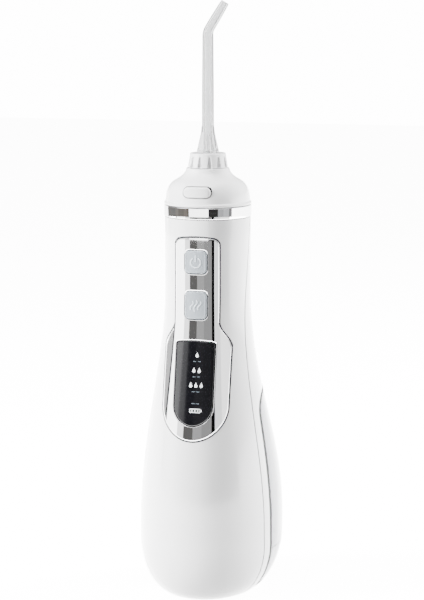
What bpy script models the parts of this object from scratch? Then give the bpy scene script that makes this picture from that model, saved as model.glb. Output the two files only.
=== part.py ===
# A cordless water flosser: oval handle, chromed control panel, clear rear tank and a turning jet tip.
# +Z is up, the front faces -Y, and the origin is under the neck's axis on the surface that it stands on.
# Sizes are in millimetres here and become metres in the helpers.

import math

import bmesh
import bpy
from mathutils import Matrix, Vector
from mathutils.geometry import interpolate_bezier

MM = 0.001
GAP = 0.3
SIDES = 20
BODY_SIDES = 32

# Handle body
BODY_BOTTOM = 0.4
BODY_TOP = 180.0
BASE_RADIUS = 17.5
BELLY_RADIUS = 34.1
BELLY_Z = 34.0
NECK_RADIUS = 20.1
NECK_Z = 147.0
BELLY_CENTRE_Y = 7.1
BASE_CENTRE_Y = 2.0
BELLY_OVALITY = 1.2
WALL = 2.0
FLOOR = 2.4
SEAM_TOP_Y = 1.0
SEAM_DEPTH = 11.0
SEAM_FALL = 104.0

# Tank
TANK_FRONT_Y = -4.8
TANK_BOTTOM_Z = 4.5
TANK_JOINT_Z = 23.0
TANK_ARC_RADIUS = 12.0
TANK_ARC_Z = 86.0
TANK_TOP_SLOPE = math.radians(16)
TANK_WALL = 1.6
BAY_WALL = 1.8
OUTLET_X = 14.0
OUTLET_Z = 78.0
OUTLET_RADIUS = 2.2

# Tank lid and charging-port cover, both hinged at their left edge as seen from behind
LID_Z = 88.0
LID_HALF_WIDTH = 8.0
LID_HALF_HEIGHT = 9.0
LID_THICKNESS = 1.7
LID_SLOPE = 0.45
LID_BARREL_RADIUS = 0.8
LID_BARREL_HALF = 5.0
FILL_HOLE_RADIUS = 6.0
COVER_Z = 150.0
COVER_HALF_WIDTH = 6.0
COVER_SPAN_Z = (145.5, 154.5)
COVER_THICKNESS = 1.2
COVER_BARREL_RADIUS = 0.7
COVER_BARREL_HALF = 2.5
HINGE_OUT = 0.1

# Control panel, display and buttons
PANEL_NARROW = 10.3
PANEL_WIDE = 15.6
PANEL_BOWL_Z = 94.0
PANEL_WIDE_Z = 121.0
PANEL_NARROW_Z = 133.0
PANEL_TOP_Z = 168.4
PANEL_CORNER = 3.0
PANEL_TOP_RISE = 0.6
WINDOW_HALF_WIDTH = 9.3
WINDOW_BOWL_Z = 94.5
WINDOW_TOP_Z = 122.0
WINDOW_TOP_RISE = 2.3
BUTTON_HALF_WIDTH = 5.1
BUTTON_CORNER = 2.0
POWER_Z = (155.4, 166.0)
MODE_Z = (134.2, 147.0)
BUTTON_BACK_Y = -17.3
BUTTON_TRAVEL = 0.8

# Neck ring and head
RING_Z = (180.3, 185.5)
RING_RADIUS = 20.35
HEAD_BOTTOM = 185.8
HEAD_TOP = 202.5
HEAD_WALL = 1.8
RELEASE_Z = 192.6
RELEASE_HALF_WIDTH = 6.8
RELEASE_HALF_HEIGHT = 2.5
RELEASE_FRONT_RADIUS = 20.0
LATCH_Z = (191.6, 192.8)

# Dial and jet tip
DIAL_Z = (202.8, 209.4)
DIAL_BOTTOM_RADIUS = 9.3
DIAL_TOP_RADIUS = 8.3
DIAL_GROOVES = 12
DIAL_FIRST_GROOVE = 21
SHANK_RADIUS = 3.1
SHANK_BOTTOM = 188.5
HUB_Z = (209.7, 219.0)
HUB_RADIUS = 5.25
TIP_TURN = math.radians(20)
TIP_BEND_Z = 265.5
TIP_BEND = math.radians(31)
TIP_BEND_RADIUS = 7.0

# Pump and drive
MOTOR_AXIS_Y = -0.7
MOTOR_RADIUS = 12.0
MOTOR_Z = (103.0, 133.5)
CRANK_Z = 148.0
GEAR_RADIUS = 11.4
GEAR_TEETH = 32
GEAR_BACK_Y = -6.8
GEAR_FACE_Y = -3.8
TOOTH_HEIGHT = 1.2
PINION_TEETH = 8
PINION_RADIUS = 2.95
PINION_ROOT = 1.8
CRANK_THROW = 2.0
CRANK_PIN_RADIUS = 1.25
PISTON_RADIUS = 4.0
CYLINDER_Z = (160.0, 175.0)
VALVE_BLOCK_Z = (175.3, 184.0)
SEAT_Z = (184.3, 198.0)

# Electrics
BOARD_Y = (-15.4, -14.2)
CELL_RADIUS = 9.1
CELL_Y = -16.5
CELL_Z = (14.0, 79.0)
LED_Z = (95.6, 101.5, 108.0, 114.5)


# ---------------------------------------------------------------- scene and materials


def clear_scene():
    for old in list(bpy.data.objects):
        bpy.data.objects.remove(old, do_unlink=True)


def new_collection(name):
    made = bpy.data.collections.new(name)
    bpy.context.scene.collection.children.link(made)
    return made


def new_material(name, colour, roughness, metallic=0.0, transmission=0.0):
    made = bpy.data.materials.new(name)
    made.use_nodes = True
    shader = made.node_tree.nodes["Principled BSDF"]
    shader.inputs["Base Color"].default_value = (*colour, 1.0)
    shader.inputs["Roughness"].default_value = roughness
    shader.inputs["Metallic"].default_value = metallic
    shader.inputs["Transmission Weight"].default_value = transmission
    made.diffuse_color = (*colour, 1.0)
    return made


clear_scene()
parts = new_collection("water_flosser")
cutters = new_collection("cutters")

WHITE_GLOSS = new_material("white_gloss_abs", (0.86, 0.86, 0.86), 0.16)
WHITE_INNER = new_material("natural_nylon", (0.78, 0.77, 0.73), 0.45)
CHROME = new_material("chrome_plate", (0.82, 0.83, 0.85), 0.06, metallic=1.0)
BLACK_GLOSS = new_material("black_window", (0.012, 0.012, 0.014), 0.08)
SATIN_BLUE_GREY = new_material("satin_button", (0.56, 0.60, 0.65), 0.32)
CLEAR_TANK = new_material("smoke_clear", (0.72, 0.74, 0.78), 0.08, transmission=0.85)
CLEAR_TIP = new_material("frosted_tip", (0.80, 0.81, 0.82), 0.22, transmission=0.6)
WHITE_RUBBER = new_material("white_silicone", (0.70, 0.70, 0.69), 0.60)
GREY_RUBBER = new_material("grey_rubber", (0.16, 0.16, 0.17), 0.75)
STEEL = new_material("steel", (0.55, 0.56, 0.58), 0.28, metallic=1.0)
BRASS = new_material("brass", (0.72, 0.55, 0.26), 0.30, metallic=1.0)
ACETAL = new_material("white_acetal", (0.80, 0.80, 0.77), 0.38)
DARK_NYLON = new_material("dark_nylon", (0.05, 0.05, 0.055), 0.50)
BOARD_GREEN = new_material("board_laminate", (0.02, 0.16, 0.08), 0.40)
CELL_WRAP = new_material("cell_wrap", (0.05, 0.22, 0.42), 0.35)
LED_EPOXY = new_material("led_epoxy", (0.80, 0.86, 0.92), 0.20)
RED_WIRE = new_material("red_insulation", (0.55, 0.03, 0.03), 0.45)
BLACK_WIRE = new_material("black_insulation", (0.02, 0.02, 0.02), 0.45)


# ---------------------------------------------------------------- helpers


def place(x, y, z):
    return Vector((x, y, z)) * MM


def add_object(name, mesh, paint=None):
    made = bpy.data.objects.new(name, mesh)
    if paint is None:
        cutters.objects.link(made)
        made.hide_render = True
        made.display_type = "WIRE"
        return made
    parts.objects.link(made)
    mesh.materials.append(paint)
    mesh.shade_smooth()
    mesh.set_sharp_from_angle(angle=math.radians(32))
    return made


def mesh_from(name, shape):
    mesh = bpy.data.meshes.new(name)
    shape.to_mesh(mesh)
    shape.free()
    return mesh


def box(name, low, high, paint=None):
    shape = bmesh.new()
    bmesh.ops.create_cube(shape, size=1.0)
    size = [(b - a) * MM for a, b in zip(low, high)]
    middle = [(a + b) * MM / 2 for a, b in zip(low, high)]
    bmesh.ops.scale(shape, vec=size, verts=shape.verts)
    bmesh.ops.translate(shape, vec=middle, verts=shape.verts)
    return add_object(name, mesh_from(name, shape), paint)


def turn_to(direction):
    return Vector(direction).to_track_quat("Z", "Y").to_matrix().to_4x4()


def rod(name, start, end, radius, paint=None, end_radius=None, sides=SIDES):
    # a cylinder or a cone from one end point to the other
    a = place(*start)
    b = place(*end)
    shape = bmesh.new()
    bmesh.ops.create_cone(
        shape,
        cap_ends=True,
        segments=sides,
        radius1=radius * MM,
        radius2=(radius if end_radius is None else end_radius) * MM,
        depth=(b - a).length,
    )
    bmesh.ops.transform(
        shape,
        matrix=Matrix.Translation((a + b) / 2) @ turn_to(b - a),
        verts=shape.verts,
    )
    return add_object(name, mesh_from(name, shape), paint)


def turned(name, profile, centre=(0, 0, 0), axis="Z", paint=None, sides=SIDES):
    # profile: (radius, height) down the outer side; a profile that starts off the axis is closed into a ring
    mesh = bpy.data.meshes.new(name)
    points = [(r * MM, 0, h * MM) for r, h in profile]
    edges = [(i, i + 1) for i in range(len(points) - 1)]
    if profile[0][0] > 0:
        edges.append((len(points) - 1, 0))
    mesh.from_pydata(points, edges, [])
    made = add_object(name, mesh, paint)
    made.location = place(*centre)
    if axis == "Y":
        made.rotation_euler = (math.radians(-90), 0, 0)
    screw = made.modifiers.new("turn", "SCREW")
    screw.axis = "Z"
    screw.steps = sides
    screw.render_steps = sides
    screw.use_merge_vertices = True
    screw.merge_threshold = 0.00001
    screw.use_smooth_shade = True
    return made


def outline_matrix(axis, middle):
    # an outline is drawn as (y, z) for X, as (x, z) for Y and as (x, y) for Z
    turns = {
        "X": Matrix(((0, 0, 1, 0), (1, 0, 0, 0), (0, 1, 0, 0), (0, 0, 0, 1))),
        "Y": Matrix(((1, 0, 0, 0), (0, 0, -1, 0), (0, 1, 0, 0), (0, 0, 0, 1))),
        "Z": Matrix.Identity(4),
    }
    shift = {"X": (middle, 0, 0), "Y": (0, middle, 0), "Z": (0, 0, middle)}[axis]
    return Matrix.Translation(place(*shift)) @ turns[axis]


def curve_to_mesh(name, curve, matrix):
    guide = bpy.data.objects.new(name + "_guide", curve)
    bpy.context.scene.collection.objects.link(guide)
    seen = guide.evaluated_get(bpy.context.evaluated_depsgraph_get())
    mesh = bpy.data.meshes.new_from_object(seen)
    bpy.data.objects.remove(guide, do_unlink=True)
    shape = bmesh.new()
    shape.from_mesh(mesh)
    bmesh.ops.remove_doubles(shape, verts=shape.verts, dist=0.000002)
    shape.transform(matrix)
    bmesh.ops.recalc_face_normals(shape, faces=shape.faces)
    if shape.calc_volume(signed=True) < 0:
        bmesh.ops.reverse_faces(shape, faces=shape.faces)
    shape.to_mesh(mesh)
    shape.free()
    mesh.materials.clear()
    mesh.name = name
    return mesh


def prism(name, outline, axis="Y", span=(-60, 60), paint=None, matrix=None):
    # a flat outline pushed out along one axis, or along the third axis of a matrix
    curve = bpy.data.curves.new(name, "CURVE")
    curve.dimensions = "2D"
    curve.fill_mode = "BOTH"
    curve.extrude = (span[1] - span[0]) * MM / 2
    line = curve.splines.new("POLY")
    line.points.add(len(outline) - 1)
    for spot, (u, v) in zip(line.points, outline):
        spot.co = (u * MM, v * MM, 0, 1)
    line.use_cyclic_u = True
    middle = (span[0] + span[1]) / 2
    if matrix is None:
        turn = outline_matrix(axis, middle)
    else:
        turn = matrix @ Matrix.Translation(place(0, 0, middle))
    return add_object(name, curve_to_mesh(name, curve, turn), paint)


def smooth_route(points, steps):
    # a Catmull-Rom curve through hand-chosen points
    spots = [Vector(p) for p in points]
    spots = [spots[0] * 2 - spots[1], *spots, spots[-1] * 2 - spots[-2]]
    route = []
    for a, b, c, d in zip(spots, spots[1:], spots[2:], spots[3:]):
        route += interpolate_bezier(b, b + (c - a) / 6, c - (d - b) / 6, c, steps + 1)[:-1]
    return [*route, spots[-2]]


def tube(name, route, radius, paint=None, resolution=2, taper=None):
    curve = bpy.data.curves.new(name, "CURVE")
    curve.dimensions = "3D"
    curve.bevel_depth = radius * MM
    curve.bevel_resolution = resolution
    curve.use_fill_caps = True
    line = curve.splines.new("POLY")
    line.points.add(len(route) - 1)
    for index, (spot, at) in enumerate(zip(line.points, route)):
        spot.co = (*(Vector(at) * MM), 1)
        spot.radius = 1.0 if taper is None else taper[index] / radius
    return add_object(name, curve_to_mesh(name, curve, Matrix.Identity(4)), paint)


def boolean(target, tool, operation="DIFFERENCE"):
    step = target.modifiers.new(tool.name, "BOOLEAN")
    step.solver = "EXACT"
    step.operation = operation
    step.object = tool
    return target


def cut(target, *tools):
    for tool in tools:
        boolean(target, tool, "DIFFERENCE")
    return target


def join(target, *tools):
    for tool in tools:
        boolean(target, tool, "UNION")
    return target


def keep(target, *tools):
    for tool in tools:
        boolean(target, tool, "INTERSECT")
    return target


def carry(name, pivot, *pieces):
    # an empty on the joint's axis carries the pieces that move with it
    holder = bpy.data.objects.new(name, None)
    parts.objects.link(holder)
    holder.empty_display_size = 0.01
    holder.location = place(*pivot)
    for piece in pieces:
        piece.parent = holder
        piece.location -= holder.location
    return holder


def arc(centre, radius, start, end, steps):
    spots = []
    for i in range(steps + 1):
        angle = math.radians(start + (end - start) * i / steps)
        spots.append((centre[0] + radius * math.cos(angle), centre[1] + radius * math.sin(angle)))
    return spots


def rounded_box(half_width, low, high, corner, grow=0.0):
    wide = half_width - corner
    radius = corner + grow
    return [
        *arc((wide, high - corner), radius, 0, 90, 5),
        *arc((-wide, high - corner), radius, 90, 180, 5),
        *arc((-wide, low + corner), radius, 180, 270, 5),
        *arc((wide, low + corner), radius, 270, 360, 5),
    ]


# ---------------------------------------------------------------- body surface


def ease(start, end, low, high, z):
    t = min(max((z - low) / (high - low), 0.0), 1.0)
    return start + (end - start) * (1 - math.cos(math.pi * t)) / 2


def body_section(z):
    # half width, half depth and centre y of the oval at height z
    if z < BELLY_Z:
        rise = 1 - (1 - min(max(z, 0.0) / 27.0, 1.0)) ** 2
        radius = BASE_RADIUS + (BELLY_RADIUS - BASE_RADIUS) * rise**0.55
        lean = math.sin(math.pi / 2 * max(z, 0.0) / BELLY_Z)
        centre = BASE_CENTRE_Y + (BELLY_CENTRE_Y - BASE_CENTRE_Y) * lean
    else:
        radius = ease(BELLY_RADIUS, NECK_RADIUS, BELLY_Z, NECK_Z, z)
        centre = ease(BELLY_CENTRE_Y, 0.0, 44.0, 120.0, z)
    oval = ease(BELLY_OVALITY, 1.0, 45.0, 130.0, z)
    half_width = radius / math.sqrt(0.924 + 0.076 * oval * oval)
    return half_width, half_width * oval, centre


def body_heights(bottom):
    low = [bottom + (27.0 - bottom) * (1 - math.cos(math.pi / 2 * i / 5)) for i in range(6)]
    high = [27.0 + (BODY_TOP - 27.0) * i / 12 for i in range(1, 13)]
    return [*low, *high]


def body_loft(name, inset, bottom=BODY_BOTTOM, top=BODY_TOP, paint=None):
    # an inset of the wall's thickness gives the inside, and a negative one gives a piece that stands proud
    shape = bmesh.new()
    rings = []
    for z in body_heights(bottom):
        half_width, half_depth, centre = body_section(z - max(inset, 0.0))
        height = top if z == BODY_TOP else z
        ring = []
        for i in range(BODY_SIDES):
            angle = 2 * math.pi * i / BODY_SIDES
            x = (half_width - inset) * math.sin(angle)
            y = centre - (half_depth - inset) * math.cos(angle)
            ring.append(shape.verts.new(place(x, y, height)))
        rings.append(ring)
    for low, high in zip(rings, rings[1:]):
        for i in range(BODY_SIDES):
            j = (i + 1) % BODY_SIDES
            shape.faces.new((low[i], low[j], high[j], high[i]))
    shape.faces.new(list(reversed(rings[0])))
    shape.faces.new(rings[-1])
    return add_object(name, mesh_from(name, shape), paint)


def seam_y(z):
    return SEAM_TOP_Y - SEAM_DEPTH * math.sin(math.pi / 2 * min((BODY_TOP - z) / SEAM_FALL, 1.0))


def seam_outline(shift):
    line = [(seam_y(z) + shift, z) for z in (180, 170, 160, 150, 140, 130, 120, 110, 100, 88, 76)]
    return [(-70, -10), (line[-1][0], -10), *reversed(line), (line[0][0], 190), (-70, 190)]


def tank_outline(grow=0.0, bottom=TANK_BOTTOM_Z):
    centre_y = TANK_FRONT_Y + TANK_ARC_RADIUS
    slope = math.tan(TANK_TOP_SLOPE)
    curve = arc((centre_y, TANK_ARC_Z), TANK_ARC_RADIUS + grow, 180, 90 + math.degrees(TANK_TOP_SLOPE), 8)
    last_y, last_z = curve[-1]
    back = (70, last_z + (70 - last_y) * slope)
    return [(70, bottom - grow), (TANK_FRONT_Y - grow, bottom - grow), *curve, back]


def panel_outline(grow=0.0):
    right = arc((0, PANEL_BOWL_Z), PANEL_WIDE + grow, -90, 0, 9)
    for i in range(7):
        z = PANEL_WIDE_Z + (PANEL_NARROW_Z - PANEL_WIDE_Z) * i / 6
        right.append((ease(PANEL_WIDE, PANEL_NARROW, PANEL_WIDE_Z, PANEL_NARROW_Z, z) + grow, z))
    right += arc((PANEL_NARROW - PANEL_CORNER, PANEL_TOP_Z), PANEL_CORNER + grow, 0, 90, 5)
    top = (0, PANEL_TOP_Z + PANEL_CORNER + PANEL_TOP_RISE + grow)
    left = [(-x, z) for x, z in reversed(right[1:])]
    return [*right, top, *left]


def window_outline(grow=0.0):
    right = arc((0, WINDOW_BOWL_Z), WINDOW_HALF_WIDTH + grow, -90, 0, 8)
    for share in (0.0, 0.5, 0.8, 0.95, 1.0):
        rise = WINDOW_TOP_RISE * math.sqrt(share)
        right.append(((WINDOW_HALF_WIDTH + grow) * (1 - share**2.2), WINDOW_TOP_Z + rise + grow))
    left = [(-x, z) for x, z in reversed(right[1:-1])]
    return [*right, *left]


# ---------------------------------------------------------------- casings


front_zone = prism("front_zone", seam_outline(-GAP / 2), "X")
front_block = prism("front_block", seam_outline(GAP / 2), "X")
bay_block = prism("bay_block", tank_outline(GAP + BAY_WALL), "X")
bay_space = prism("bay_space", tank_outline(GAP), "X")
foot_space = prism(
    "foot_space",
    [(x * 13.3, BASE_CENTRE_Y + y * 16.3) for x, y in arc((0, 0), 1.0, 0, 345, 23)],
    "Z",
    (-2, 1.5),
)
SCREW_SPOTS = ((-21.0, 28.0), (21.0, 28.0), (-19.5, 84.0), (19.5, 84.0))


def make_front_shell():
    shell = body_loft("front_shell", 0.0, paint=WHITE_GLOSS)
    cavity = body_loft("front_cavity", WALL, BODY_BOTTOM + FLOOR, BODY_TOP + 5)
    for number, (x, z) in enumerate(SCREW_SPOTS, 1):
        boss = rod(f"boss_{number}", (x, -60, z), (x, -7.3, z), 2.7)
        cut(cavity, boss)
    opening = prism("panel_opening", panel_outline(GAP), "Y", (-60, -5))
    cut(keep(cut(shell, cavity), front_zone), opening, foot_space)
    for number, (x, z) in enumerate(SCREW_SPOTS, 1):
        cut(shell, rod(f"pilot_{number}", (x, -14.8, z), (x, -5, z), 1.3, sides=12))
    return shell


def make_rear_shell():
    shell = body_loft("rear_shell", 0.0, paint=WHITE_GLOSS)
    cavity = body_loft("rear_cavity", WALL, BODY_BOTTOM + FLOOR, BODY_TOP + 5)
    cut(cavity, bay_block)
    cut(shell, front_block, cavity, bay_space, foot_space)
    for number, (x, z) in enumerate(SCREW_SPOTS, 1):
        head = rod(f"head_space_{number}", (x, -6.7, z), (x, -4.5, z), 1.3, end_radius=3.0, sides=16)
        cut(shell, rod(f"screw_way_{number}", (x, -9, z), (x, -5, z), 1.3, sides=12), head)
    cut(shell, rod("seal_way", (OUTLET_X, -9, OUTLET_Z), (OUTLET_X, -4.9, OUTLET_Z), 3.6))
    cut(shell, cover_pocket(), cover_barrel("barrel_space", GAP))
    cut(shell, prism("socket_way", rounded_box(5.0, COVER_Z - 3.0, COVER_Z + 3.0, 1.0), "Y", (10, 30)))
    return shell


def cover_pocket():
    spot = prism("cover_pocket", rounded_box(COVER_HALF_WIDTH, *COVER_SPAN_Z, 1.2, GAP), "Y", (10, 40))
    floor = rod("cover_floor", (0, 0, 140), (0, 0, 160), NECK_RADIUS - COVER_THICKNESS - GAP, sides=64)
    return cut(spot, floor)


def make_case_screw(number, x, z):
    screw = turned(
        f"case_screw_{number}",
        [(0, -5.4), (1.95, -5.4), (1.0, -6.6), (1.0, -14.2), (0, -14.2)],
        (x, 0, z),
        "Y",
        STEEL,
        16,
    )
    for name, half in (("slot_a", (1.3, 0.25)), ("slot_b", (0.25, 1.3))):
        low = (x - half[0], -6.0, z - half[1])
        high = (x + half[0], -5.0, z + half[1])
        cut(screw, box(f"{name}_{number}", low, high))
    return screw


def make_base_foot():
    outline = [(x * 13.0, BASE_CENTRE_Y + y * 16.0) for x, y in arc((0, 0), 1.0, 0, 350, 35)]
    return prism("base_foot", outline, "Z", (0, 1.2), WHITE_RUBBER)


# ---------------------------------------------------------------- control panel


def make_control_panel():
    panel = body_loft("control_panel", -0.3, paint=CHROME)
    zone = prism("panel_zone", panel_outline(), "Y", (-60, -5))
    inside = body_loft("panel_inside", 1.7, BODY_BOTTOM, BODY_TOP + 5)
    window = prism("window_opening", window_outline(GAP), "Y", (-60, -5))
    power = prism("power_opening", rounded_box(BUTTON_HALF_WIDTH, *POWER_Z, BUTTON_CORNER, GAP), "Y", (-60, -5))
    mode = prism("mode_opening", rounded_box(BUTTON_HALF_WIDTH, *MODE_Z, BUTTON_CORNER, GAP), "Y", (-60, -5))
    return cut(keep(panel, zone), inside, window, power, mode)


def make_display_window():
    window = body_loft("display_window", -0.1, paint=BLACK_GLOSS)
    zone = prism("window_zone", window_outline(), "Y", (-60, -5))
    inside = body_loft("window_inside", 1.5, BODY_BOTTOM, BODY_TOP + 5)
    return cut(keep(window, zone), inside)


def make_button(name, heights):
    button = body_loft(name, -0.8, paint=SATIN_BLUE_GREY)
    outline = rounded_box(BUTTON_HALF_WIDTH, *heights, BUTTON_CORNER)
    zone = prism(name + "_zone", outline, "Y", (-60, BUTTON_BACK_Y))
    low = (-3.0, BUTTON_BACK_Y - 0.6, heights[0] - 1.3)
    high = (3.0, BUTTON_BACK_Y, heights[1] + 1.3)
    join(keep(button, zone), box(name + "_tab", low, high))
    middle = (heights[0] + heights[1]) / 2
    carry(name + "_slide", (0, BUTTON_BACK_Y, middle), button)
    return button


def make_circuit_board():
    board = box("circuit_board", (-8, BOARD_Y[0], 84), (8, BOARD_Y[1], 170), BOARD_GREEN)
    for name, z in (("board_hole_low", 87), ("board_hole_high", 128)):
        cut(board, rod(name, (6, BOARD_Y[0] - 1, z), (6, BOARD_Y[1] + 1, z), 1.1, sides=12))
    return board


def make_switch(name, z):
    base = box(name, (-3, -16.1, z - 3), (3, BOARD_Y[0] - GAP, z + 3), DARK_NYLON)
    # the plunger stops short of the pressed button
    plunger = rod(name + "_plunger", (0, -15.9, z), (0, BUTTON_BACK_Y + BUTTON_TRAVEL + 0.2, z), 1.6)
    return join(base, plunger)


def make_indicator(number, z):
    lamp = box(f"indicator_led_{number}", (-1.6, -16.5, z - 0.8), (1.6, BOARD_Y[0] - GAP, z + 0.8), LED_EPOXY)
    return lamp


def make_light_guide():
    guide = box("light_guide", (-6.8, -19.2, 91), (6.8, -16.9, 119), ACETAL)
    for number, z in enumerate(LED_Z, 1):
        cut(guide, box(f"guide_slot_{number}", (-2.2, -20, z - 1.2), (2.2, -16, z + 1.2)))
    return guide


# ---------------------------------------------------------------- neck, head and dial


def make_neck_ring():
    low, high = RING_Z
    edge = RING_RADIUS - 0.25
    profile = [
        (edge, high),
        (RING_RADIUS, high - 0.25),
        (RING_RADIUS, low + 0.25),
        (edge, low),
        (18.2, low),
        (18.2, high),
    ]
    return turned("neck_ring", profile, paint=CHROME, sides=40)


def make_neck_frame():
    profile = [
        (17.9, 185.4),
        (17.9, 180.0),
        (17.6, 179.0),
        (17.6, 176.0),
        (9.4, 176.0),
        (9.4, 179.0),
        (16.0, 179.0),
        (16.0, 185.4),
    ]
    frame = turned("neck_frame", profile, paint=WHITE_INNER, sides=32)
    return cut(frame, rod("hose_way", (13.8, 0, 174), (13.8, 0, 180), 2.2, sides=16))


def bezier_profile(*knots, steps=4):
    # pairs of (radius, height): knot, handle, handle, knot, handle, handle, knot ...
    line = []
    for i in range(0, len(knots) - 1, 3):
        a, b, c, d = (Vector((r, 0, z)) for r, z in knots[i : i + 4])
        line += [(v.x, v.z) for v in interpolate_bezier(a, b, c, d, steps + 1)[:-1]]
    return [*line, knots[-1]]


def make_head_cap():
    outside = bezier_profile(
        (10.0, HEAD_TOP),
        (10.6, 200.0),
        (12.2, 198.5),
        (15.2, 196.9),
        (18.4, 195.2),
        (19.6, 191.8),
        (19.7, 187.6),
    )
    inside = bezier_profile(
        (17.9, 187.6),
        (17.8, 191.2),
        (16.8, 193.6),
        (14.2, 195.1),
        (11.4, 196.7),
        (9.2, 198.4),
        (8.4, HEAD_TOP - HEAD_WALL),
    )
    lip = [(20.35, 187.0), (20.5, 186.4), (20.3, HEAD_BOTTOM), (18.2, HEAD_BOTTOM)]
    rim = [(7.1, HEAD_TOP - HEAD_WALL), (7.1, HEAD_TOP)]
    cap = turned("head_cap", [*outside, *lip, *inside, *rim], paint=WHITE_GLOSS, sides=32)
    return cut(cap, prism("release_opening", release_outline(GAP), "Y", (-40, -8)))


def release_outline(grow=0.0):
    reach = RELEASE_HALF_WIDTH - RELEASE_HALF_HEIGHT
    radius = RELEASE_HALF_HEIGHT + grow
    return [*arc((reach, RELEASE_Z), radius, -90, 90, 8), *arc((-reach, RELEASE_Z), radius, 90, 270, 8)]


def make_release_button():
    button = rod("release_button", (0, 0, 188), (0, 0, 197), RELEASE_FRONT_RADIUS, WHITE_GLOSS, sides=72)
    return keep(button, prism("release_zone", release_outline(), "Y", (-40, -15)))


def make_release_latch():
    latch = box("release_latch", (-4.6, -14.7, LATCH_Z[0]), (4.6, 5.0, LATCH_Z[1]), ACETAL)
    reach = SHANK_RADIUS + GAP
    hole = [*arc((0, 0), reach, 0, 180, 10), *arc((0, -2.0), reach, 180, 360, 10)]
    return cut(latch, prism("latch_hole", hole, "Z", (190, 195)))


def make_nozzle_seat():
    bore = SHANK_RADIUS + 0.35
    profile = [
        (bore, SEAT_Z[1]),
        (7.5, SEAT_Z[1]),
        (7.5, SEAT_Z[0]),
        (1.6, SEAT_Z[0]),
        (1.6, 188.2),
        (bore, 188.2),
        (bore, 194.6),
        (bore + 1.5, 194.6),
        (bore + 1.5, 196.4),
        (bore, 196.4),
    ]
    seat = turned("nozzle_seat", profile, paint=WHITE_INNER)
    return cut(seat, box("latch_way", (-4.9, -10, 191.2), (4.9, 6.8, 193.2)))


def ring_profile(radius, thickness, height, steps=7):
    last = 90 - 360 * (steps - 1) / steps
    return [(radius + x, height + z) for x, z in arc((0, 0), thickness, 90, last, steps - 1)]


def make_nozzle_o_ring():
    return turned("nozzle_o_ring", ring_profile(4.1, 0.6, 195.5), paint=GREY_RUBBER)


def make_nozzle_dial():
    low, high = DIAL_Z
    bore = SHANK_RADIUS + GAP
    profile = [
        (bore, high),
        (DIAL_TOP_RADIUS - 0.3, high),
        (DIAL_TOP_RADIUS, high - 0.3),
        (DIAL_TOP_RADIUS + 0.1, high - 1.2),
        (DIAL_BOTTOM_RADIUS, low + 0.4),
        (DIAL_BOTTOM_RADIUS - 0.2, low),
        (6.7, low),
        (6.7, 200.2),
        (7.6, 200.2),
        (7.6, 199.4),
        (6.7, 198.4),
        (bore, 198.4),
    ]
    dial = turned("nozzle_dial", profile, paint=WHITE_GLOSS, sides=30)
    for i in range(DIAL_GROOVES):
        angle = math.radians(DIAL_FIRST_GROOVE + 360 / DIAL_GROOVES * i)
        x, y = math.sin(angle), -math.cos(angle)
        top = (x * 8.8, y * 8.8, high - 1.1)
        bottom = (x * 9.5, y * 9.5, low - 1)
        cut(dial, rod(f"dial_groove_{i}", bottom, top, 1.2, end_radius=0.7, sides=8))
    carry("dial_turn", (0, 0, low), dial)
    return dial


def tip_route():
    # straight up, then one bend towards the teeth
    route = [(0, 0, 214.0), (0, 0, 230.0), (0, 0, 248.0)]
    for i in range(6):
        angle = TIP_BEND * i / 5
        x = TIP_BEND_RADIUS * (1 - math.cos(angle))
        route.append((x, 0, TIP_BEND_Z - 2.0 + TIP_BEND_RADIUS * math.sin(angle)))
    x, y, z = route[-1]
    for length in (6.5, 13.6):
        route.append((x + length * math.sin(TIP_BEND), 0, z + length * math.cos(TIP_BEND)))
    return [Matrix.Rotation(TIP_TURN, 3, "Z") @ Vector(p) for p in route]


def make_jet_tip():
    groove = 2.5
    profile = [
        (0, 222.0),
        (2.9, 222.0),
        (3.2, HUB_Z[1]),
        (HUB_RADIUS, HUB_Z[0] + 0.5),
        (HUB_RADIUS, HUB_Z[0]),
        (SHANK_RADIUS, HUB_Z[0]),
        (SHANK_RADIUS, 193.3),
        (groove, 193.0),
        (groove, 191.3),
        (SHANK_RADIUS, 191.0),
        (SHANK_RADIUS, SHANK_BOTTOM + 0.4),
        (SHANK_RADIUS - 0.4, SHANK_BOTTOM),
        (0, SHANK_BOTTOM),
    ]
    tip = turned("jet_tip", profile, paint=CLEAR_TIP)
    route = tip_route()
    outside = [2.9, 2.8, 2.6, 2.5, 2.5, 2.45, 2.4, 2.35, 2.3, 2.1, 1.8]
    inside = [1.5, 1.4, 1.3, 1.2, 1.2, 1.1, 1.1, 1.0, 1.0, 0.8, 0.5]
    join(tip, tube("tip_tube", route, 2.9, resolution=4, taper=outside))
    for i in range(4):
        angle = TIP_TURN + math.pi / 2 * i
        x, y = math.cos(angle), math.sin(angle)
        low = (x * 5.6, y * 5.6, HUB_Z[0] - 0.2)
        high = (x * 3.9, y * 3.9, HUB_Z[1] - 0.8)
        cut(tip, rod(f"hub_groove_{i}", low, high, 1.15, end_radius=0.8, sides=8))
    down = Vector((0, 0, SHANK_BOTTOM - 2))
    ahead = route[-1] + (route[-1] - route[-2]).normalized() * 1.5
    return cut(tip, tube("tip_bore", [down, *route, ahead], 1.5, taper=[1.5, *inside, 0.5]))


# ---------------------------------------------------------------- pump and drive


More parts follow.
